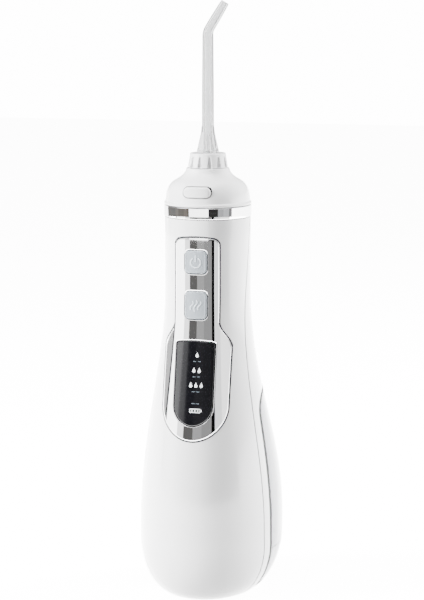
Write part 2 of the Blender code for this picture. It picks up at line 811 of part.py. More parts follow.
def make_motor_can():
    low, high = MOTOR_Z
    profile = [(0, high), (MOTOR_RADIUS - 0.8, high), (MOTOR_RADIUS, high - 0.8)]
    profile += [(MOTOR_RADIUS, low), (0, low)]
    motor = turned("motor_can", profile, (0, MOTOR_AXIS_Y, 0), paint=STEEL, sides=32)
    cut(motor, rod("shaft_way", (0, MOTOR_AXIS_Y, 129), (0, MOTOR_AXIS_Y, 136), 1.3, sides=16))
    for name, x in (("motor_hole_left", -8), ("motor_hole_right", 8)):
        cut(motor, rod(name, (x, MOTOR_AXIS_Y, 129), (x, MOTOR_AXIS_Y, 136), 1.1, sides=12))
    return motor


def make_motor_screw(name, x):
    profile = [(0, 137.0), (1.5, 137.0), (1.9, 136.4), (1.9, 135.8), (0.8, 135.8), (0.8, 129.6), (0, 129.6)]
    return turned(name, profile, (x, MOTOR_AXIS_Y, 0), paint=STEEL, sides=12)


def make_pump_frame():
    side = [
        (11, 133.8),
        (-13, 133.8),
        (-13, 171.7),
        (9.5, 171.7),
        (9.5, 169.7),
        (-11, 169.7),
        (-11, 135.5),
        (11, 135.5),
    ]
    frame = prism("pump_frame", side, "X", (-10, 10), WHITE_INNER)
    cut(frame, rod("pinion_way", (0, MOTOR_AXIS_Y, 130), (0, MOTOR_AXIS_Y, 136), 3.3))
    cut(frame, rod("cylinder_way", (0, 0, 168), (0, 0, 173), 6.8))
    cut(frame, rod("axle_way", (0, -14, CRANK_Z), (0, -10, CRANK_Z), 1.3, sides=16))
    for name, x in (("frame_hole_left", -8), ("frame_hole_right", 8)):
        cut(frame, rod(name, (x, MOTOR_AXIS_Y, 130), (x, MOTOR_AXIS_Y, 136), 1.1, sides=12))
    return frame


def make_gear_axle():
    profile = [(0, -4.8), (1.0, -4.8), (1.0, -13.3), (2.0, -13.3), (2.0, -13.9), (0, -13.9)]
    return turned("gear_axle", profile, (0, 0, CRANK_Z), "Y", STEEL, 16)


def make_crown_gear():
    back, face = (0, GEAR_BACK_Y, CRANK_Z), (0, GEAR_FACE_Y, CRANK_Z)
    disc = rod("crown_gear", back, face, GEAR_RADIUS, ACETAL, sides=40)
    teeth = bmesh.new()
    length = 2.2
    for i in range(GEAR_TEETH):
        angle = 2 * math.pi * (i + 0.5) / GEAR_TEETH
        turn = Matrix.Rotation(angle, 4, "Y")
        middle = place(0, GEAR_FACE_Y + TOOTH_HEIGHT / 2 - 0.2, -(GEAR_RADIUS - length / 2 - 0.1))
        size = Matrix.Diagonal((0.62 * MM, (TOOTH_HEIGHT + 0.4) * MM, length * MM, 1))
        spot = Matrix.Translation(place(0, 0, CRANK_Z)) @ turn @ Matrix.Translation(middle) @ size
        bmesh.ops.create_cube(teeth, size=1.0, matrix=spot)
    join(disc, add_object("crown_teeth", mesh_from("crown_teeth", teeth)))
    return cut(disc, rod("gear_bore", (0, GEAR_BACK_Y - 1, CRANK_Z), (0, -4.4, CRANK_Z), 1.3, sides=16))


def make_crank_pin():
    start = (CRANK_THROW, GEAR_FACE_Y + GAP, CRANK_Z)
    return rod("crank_pin", start, (CRANK_THROW, 1.2, CRANK_Z), CRANK_PIN_RADIUS, STEEL, sides=20)


def make_motor_shaft():
    start = (0, MOTOR_AXIS_Y, 129.6)
    return rod("motor_shaft", start, (0, MOTOR_AXIS_Y, 140.2), 1.0, STEEL, sides=16)


def make_pinion():
    outline = []
    for i in range(PINION_TEETH):
        middle = -90 + 360 / PINION_TEETH * i
        tooth = ((PINION_ROOT, -14), (PINION_RADIUS, -7.5), (PINION_RADIUS, 7.5), (PINION_ROOT, 14))
        for radius, spread in tooth:
            angle = math.radians(middle + spread)
            outline.append((radius * math.cos(angle), MOTOR_AXIS_Y + radius * math.sin(angle)))
    pinion = prism("pinion", outline, "Z", (136, 140), BRASS)
    return cut(pinion, rod("pinion_bore", (0, MOTOR_AXIS_Y, 135), (0, MOTOR_AXIS_Y, 141), 1.3, sides=16))


def make_piston_yoke():
    window = CRANK_THROW + CRANK_PIN_RADIUS + GAP
    half = window + 1.6
    yoke = box("piston_yoke", (-half, -1.5, CRANK_Z - half), (half, 1.5, CRANK_Z + half), ACETAL)
    space = box("yoke_window", (-window, -3, CRANK_Z - window), (window, 3, CRANK_Z + window))
    profile = [
        (0, 170.0),
        (PISTON_RADIUS - 0.3, 170.0),
        (PISTON_RADIUS - 0.3, 168.6),
        (2.7, 168.6),
        (2.7, 166.8),
        (PISTON_RADIUS - 0.3, 166.8),
        (PISTON_RADIUS - 0.3, 165.0),
        (1.6, 165.0),
        (1.6, 152.5),
        (0, 152.5),
    ]
    return join(cut(yoke, space), turned("piston_rod", profile))


def make_piston_seal():
    profile = [(3.0, 168.3), (3.7, 168.3), (PISTON_RADIUS, 167.7), (3.7, 167.1), (3.0, 167.1)]
    return turned("piston_seal", profile, paint=GREY_RUBBER)


def make_pump_cylinder():
    low, high = CYLINDER_Z
    bore = PISTON_RADIUS + GAP
    profile = [(bore, high), (9.0, high), (9.0, 172.0), (6.5, 172.0), (6.5, low), (bore, low)]
    return turned("pump_cylinder", profile, paint=ACETAL, sides=32)


def make_valve_block():
    low, high = VALVE_BLOCK_Z
    profile = [(1.6, high), (9.0, high), (9.0, low), (1.6, low)]
    block = turned("valve_block", profile, paint=WHITE_INNER, sides=32)
    return cut(block, rod("inlet_port", (0.4, 0, 181.7), (10, 0, 181.7), 1.5, sides=16))


def make_valve(name, base, tip):
    return rod(name, base, tip, 1.25, GREY_RUBBER, end_radius=0.4, sides=16)


def make_inlet_hose():
    # from the tank's port seal, past the motor and through the neck frame into the valve block
    route = [
        (OUTLET_X, -7.2, OUTLET_Z),
        (OUTLET_X, -8.6, OUTLET_Z),
        (OUTLET_X, -9.8, 80.2),
        (14.3, -9.6, 90),
        (15.6, -4.5, 104),
        (15.9, -0.5, 118),
        (15.4, 0.5, 140),
        (14.3, 0.3, 165),
        (14.0, 0, 176.5),
        (13.2, 0, 179.9),
        (11.3, 0, 181.5),
        (9.3, 0, 181.7),
    ]
    return tube("inlet_hose", smooth_route(route, 3), 1.5, WHITE_RUBBER)


# ---------------------------------------------------------------- battery, charging and wires


def make_battery_cell():
    low, high = CELL_Z
    profile = [
        (0, high),
        (3.0, high),
        (3.0, high - 1.0),
        (CELL_RADIUS - 0.6, high - 1.0),
        (CELL_RADIUS, high - 1.6),
        (CELL_RADIUS, low + 0.6),
        (CELL_RADIUS - 0.6, low),
        (0, low),
    ]
    return turned("battery_cell", profile, (0, CELL_Y, 0), paint=CELL_WRAP, sides=32)


def make_battery_cradle():
    fit = CELL_RADIUS + GAP
    profile = [(10.8, 24.0), (10.8, 12.2), (1.5, 12.2), (1.5, 13.7), (fit, 13.7), (fit, 24.0)]
    cradle = turned("battery_cradle", profile, (0, CELL_Y, 0), paint=DARK_NYLON, sides=32)
    return cut(cradle, box("cradle_back", (-20, -7.3, 5), (20, 5, 40)))


def make_charge_socket():
    socket = box("charge_socket", (-4.6, 9.5, 147.5), (4.6, 17.2, 152.5), DARK_NYLON)
    cut(socket, rod("socket_hole", (0, 11, COVER_Z), (0, 18, COVER_Z), 1.9))
    return join(socket, rod("socket_pin", (0, 10.5, COVER_Z), (0, 16.5, COVER_Z), 0.5, sides=12))


def make_port_cover():
    outline = rounded_box(COVER_HALF_WIDTH, *COVER_SPAN_Z, 1.2)
    cover = prism("port_cover", outline, "Y", (10, 40), WHITE_RUBBER)
    keep(cover, rod("cover_outside", (0, 0, 140), (0, 0, 160), NECK_RADIUS, sides=72))
    inner = NECK_RADIUS - COVER_THICKNESS
    cut(cover, rod("cover_inside", (0, 0, 140), (0, 0, 160), inner, sides=72))
    plug = prism("cover_plug", rounded_box(4.0, COVER_Z - 1.8, COVER_Z + 1.8, 0.8), "Y", (17.7, inner + 0.6))
    join(cover, plug, cover_barrel("cover_barrel"))
    carry("cover_hinge", cover_pivot(), cover)
    return cover


def cover_pivot():
    # just outside the cover's left edge, so that the edge swings out of its pocket
    x = -COVER_HALF_WIDTH - HINGE_OUT
    return x, math.sqrt(NECK_RADIUS**2 - x * x) + 0.25, COVER_Z


def cover_barrel(name, grow=0.0):
    x, y, z = cover_pivot()
    half = COVER_BARREL_HALF + grow
    return rod(name, (x, y, z - half), (x, y, z + half), COVER_BARREL_RADIUS + grow, sides=16)


def make_wire(name, route, paint):
    return tube(name, smooth_route(route, 4), 0.6, paint)


# ---------------------------------------------------------------- tank and lid


def lid_frame():
    # third axis out of the tank's back, second axis up along its slope
    half_width, half_depth, centre = body_section(LID_Z)
    up = Vector((0, -LID_SLOPE, 1)).normalized()
    out = Vector((0, 1, LID_SLOPE)).normalized()
    edge = math.sqrt(1 - (LID_HALF_WIDTH / half_width) ** 2)
    origin = place(0, centre + half_depth * edge, LID_Z)
    frame = Matrix.Identity(4)
    for column, axis in enumerate((Vector((-1, 0, 0)), up, out)):
        for row in range(3):
            frame[row][column] = axis[row]
    frame.translation = origin
    return frame


def lid_outline(grow=0.0):
    return rounded_box(LID_HALF_WIDTH, -LID_HALF_HEIGHT, LID_HALF_HEIGHT, 2.5, grow)


def tank_cavity():
    cavity = body_loft("tank_cavity", TANK_WALL, BODY_BOTTOM + TANK_WALL, BODY_TOP + 5)
    keep(cavity, prism("tank_inside", tank_outline(-TANK_WALL), "X"))
    thick = prism("lid_wall", lid_outline(1.6), span=(-25, 25), matrix=lid_frame())
    cut(thick, body_loft("lid_wall_inside", 3.7, BODY_BOTTOM, BODY_TOP + 5))
    return cut(cavity, thick)


def make_tank_shell(cavity):
    tank = body_loft("tank_shell", 0.0, paint=CLEAR_TANK)
    zone = prism("tank_zone", tank_outline(0.0, TANK_JOINT_Z + GAP / 2), "X")
    pocket = prism("lid_pocket", lid_outline(GAP), span=(-25, 25), matrix=lid_frame())
    cut(pocket, body_loft("pocket_floor", LID_THICKNESS + GAP, BODY_BOTTOM, BODY_TOP + 5))
    hole = rod("fill_hole", (0, 0, -12), (0, 0, 12), FILL_HOLE_RADIUS)
    hole.matrix_world = lid_frame()
    front, back = (OUTLET_X, -8, OUTLET_Z), (OUTLET_X, 0, OUTLET_Z)
    port = rod("outlet_port", front, back, OUTLET_RADIUS + GAP, sides=20)
    return cut(keep(tank, zone), cavity, pocket, lid_barrel("lid_barrel_space", GAP), hole, port)


def make_tank_base(cavity):
    base = body_loft("tank_base", 0.0, paint=CLEAR_TANK)
    outline = [
        (70, TANK_BOTTOM_Z),
        (TANK_FRONT_Y, TANK_BOTTOM_Z),
        (TANK_FRONT_Y, TANK_JOINT_Z - GAP / 2),
        (70, TANK_JOINT_Z - GAP / 2),
    ]
    return cut(keep(base, prism("base_zone", outline, "X")), cavity)


def make_outlet_nipple():
    profile = [(1.2, 1.0), (3.4, 1.0), (3.4, -2.9), (OUTLET_RADIUS, -2.9), (OUTLET_RADIUS, -6.9), (1.2, -6.9)]
    return turned("outlet_nipple", profile, (OUTLET_X, 0, OUTLET_Z), "Y", WHITE_INNER)


def make_pickup_tube():
    # the flexible tube that reaches the lowest corner of the tank
    route = [(OUTLET_X, 1.4, OUTLET_Z), (OUTLET_X, 4.5, 77), (13.5, 7.5, 71)]
    route += [(11, 10, 50), (8, 12, 28), (6, 13, 15)]
    hose = tube("pickup_tube", smooth_route(route, 4), 1.6, WHITE_RUBBER)
    return hose


def make_pickup_filter():
    profile = [(0.9, 14.4), (3.0, 14.4), (3.4, 13.8), (3.4, 9.0), (0.9, 9.0)]
    return turned("pickup_filter", profile, (5.9, 13.1, 0), paint=STEEL, sides=20)


def make_port_seal():
    profile = [(OUTLET_RADIUS + GAP, -5.2), (3.3, -5.2), (3.3, -6.9), (OUTLET_RADIUS + GAP, -6.9)]
    return turned("tank_port_seal", profile, (OUTLET_X, 0, OUTLET_Z), "Y", GREY_RUBBER)


def make_fill_lid():
    frame = lid_frame()
    lid = body_loft("fill_lid", 0.0, paint=WHITE_GLOSS)
    keep(lid, prism("lid_zone", lid_outline(), span=(-25, 25), matrix=frame))
    cut(lid, body_loft("lid_inside", LID_THICKNESS, BODY_BOTTOM, BODY_TOP + 5))
    return join(lid, lid_barrel("lid_barrel"))


def make_lid_gasket():
    # a stopper that plugs the fill hole, held 0.3 mm under the lid
    stopper = rod("lid_gasket", (0, 0, -12), (0, 0, 12), 5.4, WHITE_RUBBER)
    stopper.matrix_world = lid_frame()
    keep(stopper, body_loft("gasket_outside", LID_THICKNESS + GAP, BODY_BOTTOM, BODY_TOP + 5))
    return cut(stopper, body_loft("gasket_inside", LID_THICKNESS + 2.0, BODY_BOTTOM, BODY_TOP + 5))


def lid_pivot(along=0.0):
    # just outside the lid's left edge, so that the edge swings out of its pocket
    return lid_frame() @ place(LID_HALF_WIDTH + HINGE_OUT, along, 0.4) / MM


def lid_barrel(name, grow=0.0):
    half = LID_BARREL_HALF + grow
    return rod(name, lid_pivot(-half), lid_pivot(half), LID_BARREL_RADIUS + grow, sides=16)


# ---------------------------------------------------------------- assembly


def build_handle():
    make_front_shell()
    make_rear_shell()
    for number, (x, z) in enumerate(SCREW_SPOTS, 1):
        make_case_screw(number, x, z)
    make_base_foot()
    make_control_panel()
    make_display_window()
    make_circuit_board()
    make_switch("power_switch", sum(POWER_Z) / 2)
    make_switch("mode_switch", sum(MODE_Z) / 2)
    for number, z in enumerate(LED_Z, 1):
        make_indicator(number, z)
    make_light_guide()
    make_neck_ring()
    make_neck_frame()
    make_head_cap()
    make_nozzle_seat()
    make_nozzle_o_ring()
    make_motor_can()
    make_motor_screw("motor_screw_left", -8)
    make_motor_screw("motor_screw_right", 8)
    make_pump_frame()
    make_gear_axle()
    make_pump_cylinder()
    make_valve_block()
    make_valve("inlet_valve", (6.5, 0, 181.7), (4.3, 0, 181.7))
    make_valve("outlet_valve", (0, 0, 178.0), (0, 0, 179.8))
    make_inlet_hose()
    make_port_seal()
    make_battery_cell()
    make_battery_cradle()
    make_charge_socket()
    red_route = [(3, -16.5, 79.5), (3.3, -15, 81.6), (4.2, -12.6, 82.4), (4.5, -12.4, 86), (4.5, -13.0, 92)]
    black_route = [(-5, -10, 78.4), (-5, -10, 81), (-5.2, -12, 86), (-5.5, -13.0, 92)]
    make_wire("battery_lead_red", red_route, RED_WIRE)
    make_wire("battery_lead_black", black_route, BLACK_WIRE)


def build_moving():
    make_button("power_button", POWER_Z)
    make_button("mode_button", MODE_Z)
    button = make_release_button()
    carry("release_slide", (0, -15, RELEASE_Z), button, make_release_latch())
    make_nozzle_dial()
    carry("nozzle_slide", (0, 0, HUB_Z[0]), make_jet_tip())
    carry("crank_turn", (0, GEAR_FACE_Y, CRANK_Z), make_crown_gear(), make_crank_pin())
    carry("pinion_turn", (0, MOTOR_AXIS_Y, 138), make_motor_shaft(), make_pinion())
    carry("piston_slide", (0, 0, CRANK_Z), make_piston_yoke(), make_piston_seal())
    make_port_cover()


def build_tank():
    cavity = tank_cavity()
    pieces = [make_tank_shell(cavity), make_tank_base(cavity), make_outlet_nipple()]
    pieces += [make_pickup_tube(), make_pickup_filter()]
    carry("tank_slide", (0, TANK_FRONT_Y, 50), *pieces)
    carry("lid_hinge", lid_pivot(), make_fill_lid(), make_lid_gasket())


build_handle()
build_moving()
build_tank()
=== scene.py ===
import math

import bmesh
import bpy
import numpy as np
from mathutils import Matrix, Vector
from mathutils.geometry import delaunay_2d_cdt, interpolate_bezier


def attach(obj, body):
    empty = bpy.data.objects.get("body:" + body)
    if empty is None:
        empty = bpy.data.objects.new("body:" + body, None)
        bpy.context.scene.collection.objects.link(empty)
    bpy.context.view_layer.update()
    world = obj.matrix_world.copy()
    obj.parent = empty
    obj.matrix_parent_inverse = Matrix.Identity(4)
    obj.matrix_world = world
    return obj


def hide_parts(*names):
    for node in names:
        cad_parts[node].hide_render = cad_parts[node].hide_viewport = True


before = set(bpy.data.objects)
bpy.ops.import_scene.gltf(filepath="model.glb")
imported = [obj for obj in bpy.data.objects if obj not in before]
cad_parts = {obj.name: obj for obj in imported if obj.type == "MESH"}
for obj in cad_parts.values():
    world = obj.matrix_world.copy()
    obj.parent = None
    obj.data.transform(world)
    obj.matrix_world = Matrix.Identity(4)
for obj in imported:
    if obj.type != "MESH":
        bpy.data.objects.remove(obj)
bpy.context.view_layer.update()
mm = 0.001  # sizes below are in millimetres and become metres as a mesh is made
gap = 0.3  # clearance between neighbouring pieces
rightThrough = (-60, 60)  # a prism's reach where it has to cross the whole body
print("frame loaded,", len(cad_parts), "nodes")

shot = {
    "azimuth": 16.0,
    "distance": 0.95,
    "height": 0.292,
    "aimHeight": 0.140,
    "sideStep": 0.0019,
    "lens": 122.7,
}


def makeCamera():
    turn = math.radians(shot["azimuth"])
    side = Vector((math.cos(turn), math.sin(turn), 0))
    spot = Vector((shot["distance"] * math.sin(turn), -shot["distance"] * math.cos(turn), shot["height"]))
    aim = Vector((0, 0, shot["aimHeight"])) + side * shot["sideStep"]
    data = bpy.data.cameras.new("camera")
    data.lens = shot["lens"]
    data.sensor_width = 36
    camera = bpy.data.objects.new("camera", data)
    camera.location = spot
    camera.rotation_euler = (aim - spot).to_track_quat("-Z", "Y").to_euler()
    bpy.context.scene.collection.objects.link(camera)
    bpy.context.scene.camera = camera


makeCamera()

# finishes: every one has its own grain in colour, roughness and relief


def finish(
    name, colour, roughness, grain=900.0, tint=0.02, scatter=0.03, relief=0.004, stretch=(1, 1, 1), **sockets
):
    made = bpy.data.materials.new(name)
    made.use_nodes = True
    nodes = made.node_tree.nodes
    link = made.node_tree.links.new
    shader = nodes["Principled BSDF"]
    shader.inputs["Base Color"].default_value = (*colour, 1)
    shader.inputs["Roughness"].default_value = roughness
    for socket, value in sockets.items():
        shader.inputs[socket.replace("_", " ")].default_value = value
    place = nodes.new("ShaderNodeTexCoord")
    fit = nodes.new("ShaderNodeMapping")
    fit.inputs["Scale"].default_value = stretch
    link(place.outputs["Object"], fit.inputs["Vector"])
    fine = nodes.new("ShaderNodeTexNoise")
    fine.inputs["Scale"].default_value = grain
    fine.inputs["Detail"].default_value = 3
    wide = nodes.new("ShaderNodeTexNoise")
    wide.inputs["Scale"].default_value = grain / 16
    for noise in (fine, wide):
        link(fit.outputs["Vector"], noise.inputs["Vector"])
    shade = nodes.new("ShaderNodeMapRange")
    shade.inputs["From Min"].default_value = 0.3
    shade.inputs["From Max"].default_value = 0.7
    shade.inputs["To Min"].default_value = max(roughness - scatter, 0.01)
    shade.inputs["To Max"].default_value = roughness + scatter
    link(fine.outputs["Fac"], shade.inputs["Value"])
    link(shade.outputs["Result"], shader.inputs["Roughness"])
    mix = nodes.new("ShaderNodeMix")
    mix.data_type = "RGBA"
    mix.inputs[6].default_value = (*[c * (1 - tint) for c in colour], 1)
    mix.inputs[7].default_value = (*[min(c * (1 + tint), 1) for c in colour], 1)
    link(wide.outputs["Fac"], mix.inputs[0])
    link(mix.outputs[2], shader.inputs["Base Color"])
    bump = nodes.new("ShaderNodeBump")
    bump.inputs["Strength"].default_value = 0.35
    bump.inputs["Distance"].default_value = relief * mm
    link(fine.outputs["Fac"], bump.inputs["Height"])
    link(bump.outputs["Normal"], shader.inputs["Normal"])
    return made


whiteGloss = finish(
    "whiteGloss", (0.83, 0.83, 0.835), 0.15, 700, 0.01, 0.02, 0.003, Coat_Weight=0.25, Coat_Roughness=0.06
)
innerWhite = finish("innerWhite", (0.74, 0.73, 0.70), 0.42, 1200, 0.03, 0.05, 0.01)
chrome = finish("chrome", (0.90, 0.90, 0.905), 0.035, 500, 0.01, 0.01, 0.001, Metallic=1.0)
blackGloss = finish(
    "blackGloss", (0.002, 0.002, 0.003), 0.15, 600, 0.10, 0.03, 0.001, Specular_IOR_Level=0.38
)
satinKey = finish("satinKey", (0.27, 0.30, 0.33), 0.38, 1500, 0.03, 0.05, 0.006, Specular_IOR_Level=0.3)
keySymbol = finish("keySymbol", (0.58, 0.63, 0.67), 0.28, 1500, 0.02, 0.03, 0.004, Specular_IOR_Level=0.3)
tankClear = finish(
    "tankClear", (0.60, 0.615, 0.65), 0.03, 300, 0.03, 0.015, 0.004, Transmission_Weight=0.96, IOR=1.49
)
tipClear = finish(
    "tipClear", (0.90, 0.905, 0.91), 0.06, 900, 0.02, 0.02, 0.004, Transmission_Weight=0.86, IOR=1.49
)
# painted shade: a darker grey for the faces inside the dial's grooves
paintedGrooveShade = finish("paintedGrooveShade", (0.42, 0.42, 0.43), 0.30, 900, 0.02, 0.04, 0.003)
# painted shade: dark grey for the strip in the seam between the shells
paintedSeamShade = finish("paintedSeamShade", (0.07, 0.07, 0.075), 0.60, 1500, 0.05, 0.05, 0.004, Specular_IOR_Level=0.2)
# painted shade: black for the strips in the gaps round the panel and the tank
paintedGapShade = finish("paintedGapShade", (0.012, 0.012, 0.014), 0.60, 1500, 0.05, 0.05, 0.004, Specular_IOR_Level=0.2)
silicone = finish("silicone", (0.66, 0.66, 0.65), 0.55, 1600, 0.03, 0.06, 0.02)
greyRubber = finish("greyRubber", (0.10, 0.10, 0.11), 0.70, 1800, 0.10, 0.08, 0.03)
steel = finish("steel", (0.56, 0.57, 0.59), 0.28, 900, 0.04, 0.08, 0.004, (1, 1, 12), Metallic=1.0)
motorMetal = finish("motorMetal", (0.60, 0.60, 0.61), 0.30, 500, 0.03, 0.08, 0.004, (14, 14, 1), Metallic=1.0)
brass = finish("brass", (0.72, 0.55, 0.26), 0.30, 1300, 0.05, 0.06, 0.004, Metallic=1.0)
acetal = finish("acetal", (0.78, 0.78, 0.75), 0.36, 1100, 0.02, 0.05, 0.006)
darkNylon = finish("darkNylon", (0.045, 0.045, 0.05), 0.50, 1500, 0.08, 0.06, 0.02)
cellWrap = finish("cellWrap", (0.05, 0.22, 0.42), 0.34, 400, 0.06, 0.05, 0.006, (1, 1, 0.1), Coat_Weight=0.4)
ledEpoxy = finish("ledEpoxy", (0.80, 0.86, 0.92), 0.18, 900, 0.03, 0.04, 0.003, Transmission_Weight=0.4)
redWire = finish("redWire", (0.52, 0.03, 0.03), 0.42, 1500, 0.06, 0.05, 0.01)
blackWire = finish("blackWire", (0.02, 0.02, 0.02), 0.42, 1500, 0.10, 0.05, 0.01)
boardGreen = finish("boardGreen", (0.02, 0.15, 0.075), 0.38, 1200, 0.15, 0.06, 0.01, Coat_Weight=0.3)
markWhite = finish("markWhite", (0.80, 0.82, 0.84), 0.35, 1500, 0.02, 0.04, 0.002)
markBlue = finish("markBlue", (0.06, 0.075, 0.09), 0.30, 1500, 0.03, 0.04, 0.002)
print("finishes made")

# shared mesh tools


def addPiece(name, mesh, paint, sharp=32):
    mesh.materials.clear()
    mesh.materials.append(paint)
    mesh.shade_smooth()
    mesh.set_sharp_from_angle(angle=math.radians(sharp))
    made = bpy.data.objects.new(name, mesh)
    bpy.context.scene.collection.objects.link(made)
    return made


def meshFrom(name, shape, merge=0.0):
    if merge:
        bmesh.ops.remove_doubles(shape, verts=shape.verts, dist=merge)
        bmesh.ops.recalc_face_normals(shape, faces=shape.faces)
    mesh = bpy.data.meshes.new(name)
    shape.to_mesh(mesh)
    shape.free()
    return mesh


def bake(piece, sharp=32):
    # the finished shape becomes a plain mesh with no modifiers
    seen = piece.evaluated_get(bpy.context.evaluated_depsgraph_get())
    mesh = bpy.data.meshes.new_from_object(seen)
    piece.modifiers.clear()
    piece.data = mesh
    mesh.shade_smooth()
    mesh.set_sharp_from_angle(angle=math.radians(sharp))
    return piece


def combine(piece, tools, operation="DIFFERENCE", sharp=32):
    for tool in tools:
        step = piece.modifiers.new(tool.name, "BOOLEAN")
        step.solver = "EXACT"
        step.operation = operation
        step.object = tool
    bake(piece, sharp)
    paint = piece.data.materials[0]
    piece.data.materials.clear()
    piece.data.materials.append(paint)
    for tool in tools:
        bpy.data.objects.remove(tool, do_unlink=True)
    return piece


def hand(piece, body, slot, *nodes):
    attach(piece, body)
    if nodes:
        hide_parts(*nodes)
    return piece


def arc(centre, radius, start, end, steps):
    spots = []
    for i in range(steps + 1):
        angle = math.radians(start + (end - start) * i / steps)
        spots.append((centre[0] + radius * math.cos(angle), centre[1] + radius * math.sin(angle)))
    return spots


def ease(start, end, low, high, z):
    share = min(max((z - low) / (high - low), 0.0), 1.0)
    return start + (end - start) * (1 - math.cos(math.pi * share)) / 2


def spread(start, end, steps):
    return [start + (end - start) * i / steps for i in range(steps)]


# the body's skin, drawn by how far round it (s) and how high (v);
# below its bottom edge it turns in to the foot

body = {
    "bottom": 0.4,
    "top": 180.0,
    "base": 17.5,
    "belly": 34.1,
    "bellyHeight": 34.0,
    "neck": 20.1,
    "neckHeight": 147.0,
    "bellyCentre": 7.1,
    "baseCentre": 2.0,
    "oval": 1.2,
    "wall": 1.9,
    "girth": 28.0,
    "underside": 6.0,
    "footWidth": 13.3,
    "footDepth": 16.3,
    "seamTop": 1.0,
    "seamDepth": 11.0,
    "seamFall": 104.0,
}


def bodySection(z):
    if z < body["bellyHeight"]:
        rise = 1 - (1 - min(max(z, 0.0) / 27.0, 1.0)) ** 2
        radius = body["base"] + (body["belly"] - body["base"]) * rise**0.55
        lean = math.sin(math.pi / 2 * max(z, 0.0) / body["bellyHeight"])
        centre = body["baseCentre"] + (body["bellyCentre"] - body["baseCentre"]) * lean
    else:
        radius = ease(body["belly"], body["neck"], body["bellyHeight"], body["neckHeight"], z)
        centre = ease(body["bellyCentre"], 0.0, 44.0, 120.0, z)
    oval = ease(body["oval"], 1.0, 45.0, 130.0, z)
    halfWidth = radius / math.sqrt(0.924 + 0.076 * oval * oval)
    return halfWidth, halfWidth * oval, centre


def skinSection(v):
    if v >= body["bottom"]:
        return (*bodySection(v), v)
    width, depth, centre = bodySection(body["bottom"])
    share = (body["bottom"] - v) / (body["bottom"] + body["underside"])
    width += (body["footWidth"] - width) * share
    depth += (body["footDepth"] - depth) * share
    return width, depth, centre + (body["baseCentre"] - centre) * share, body["bottom"]


def skinSpot(s, v):
    width, depth, centre, z = skinSection(v)
    angle = s / body["girth"]
    return Vector((width * math.sin(angle), centre - depth * math.cos(angle), z))


def skinNormal(s, v):
    across = skinSpot(s + 0.05, v) - skinSpot(s - 0.05, v)
    up = skinSpot(s, v + 0.05) - skinSpot(s, v - 0.05)
    return across.cross(up).normalized()


def skin(s, v, depth):
    return skinSpot(s, v) - skinNormal(s, v) * depth


def aroundAt(y, v):
    width, depth, centre, z = skinSection(v)
    return body["girth"] * math.acos(min(max((centre - y) / depth, -1.0), 1.0))


def onFront(spots):
    return [(body["girth"] * math.asin(x / skinSection(z)[0]), z) for x, z in spots]


def onBack(spots):
    return [(body["girth"] * (math.pi - math.asin(x / skinSection(z)[0])), z) for x, z in spots]


def skinRows():
    rows = [-body["underside"] + 1.0 * i for i in range(7)]
    z = body["bottom"]
    while z < body["top"]:
        rows.append(z)
        z += 0.45 if z < 4 else 0.9 if z < 12 else 1.8
    return [*rows, body["top"]]


skinLevels = skinRows()


def insideLoop(spots, loop):
    x, y = spots[:, 0], spots[:, 1]
    inside = np.zeros(len(spots), bool)
    last = loop[-1]
    for this in loop:
        if this[1] != last[1]:
            at = (last[0] - this[0]) * (y - this[1]) / (last[1] - this[1]) + this[0]
            inside ^= ((this[1] > y) != (last[1] > y)) & (x < at)
        last = this
    return inside


def fill(loops, levels, step):
    # triangles between an outline and its holes; the loops' own points come first
    spots = [spot for loop in loops for spot in loop]
    edges = []
    start = 0
    for loop in loops:
        edges += [(start + i, start + (i + 1) % len(loop)) for i in range(len(loop))]
        start += len(loop)
    edge = np.array(spots)
    low, high = edge.min(0), edge.max(0)
    if levels:
        columns = np.arange(math.floor(low[0] / step) * step, high[0] + step, step)
        grid = np.array([(s, v) for v in levels if low[1] < v < high[1] for s in columns])
        keep = insideLoop(grid, loops[0])
        for loop in loops[1:]:
            keep &= ~insideLoop(grid, loop)
        grid = grid[keep]
        far = [np.min(np.abs(edge - spot).max(1)) > 0.3 * step for spot in grid]
        spots = [*spots, *map(tuple, grid[np.array(far, bool)])]
    found, _, faces, origins, _, _ = delaunay_2d_cdt([Vector(p) for p in spots], edges, [], 0, 1e-7)
    home = [origin[0] for origin in origins]
    middles = np.array([sum((Vector(spots[home[i]]) for i in face), Vector((0, 0))) / 3 for face in faces])
    keep = insideLoop(middles, loops[0])
    for loop in loops[1:]:
        keep &= ~insideLoop(middles, loop)
    return spots, [tuple(home[i] for i in face) for face, good in zip(faces, keep) if good]


def turnsLeft(loop):
    return sum(a[0] * b[1] - b[0] * a[1] for a, b in zip(loop, [*loop[1:], loop[0]])) > 0


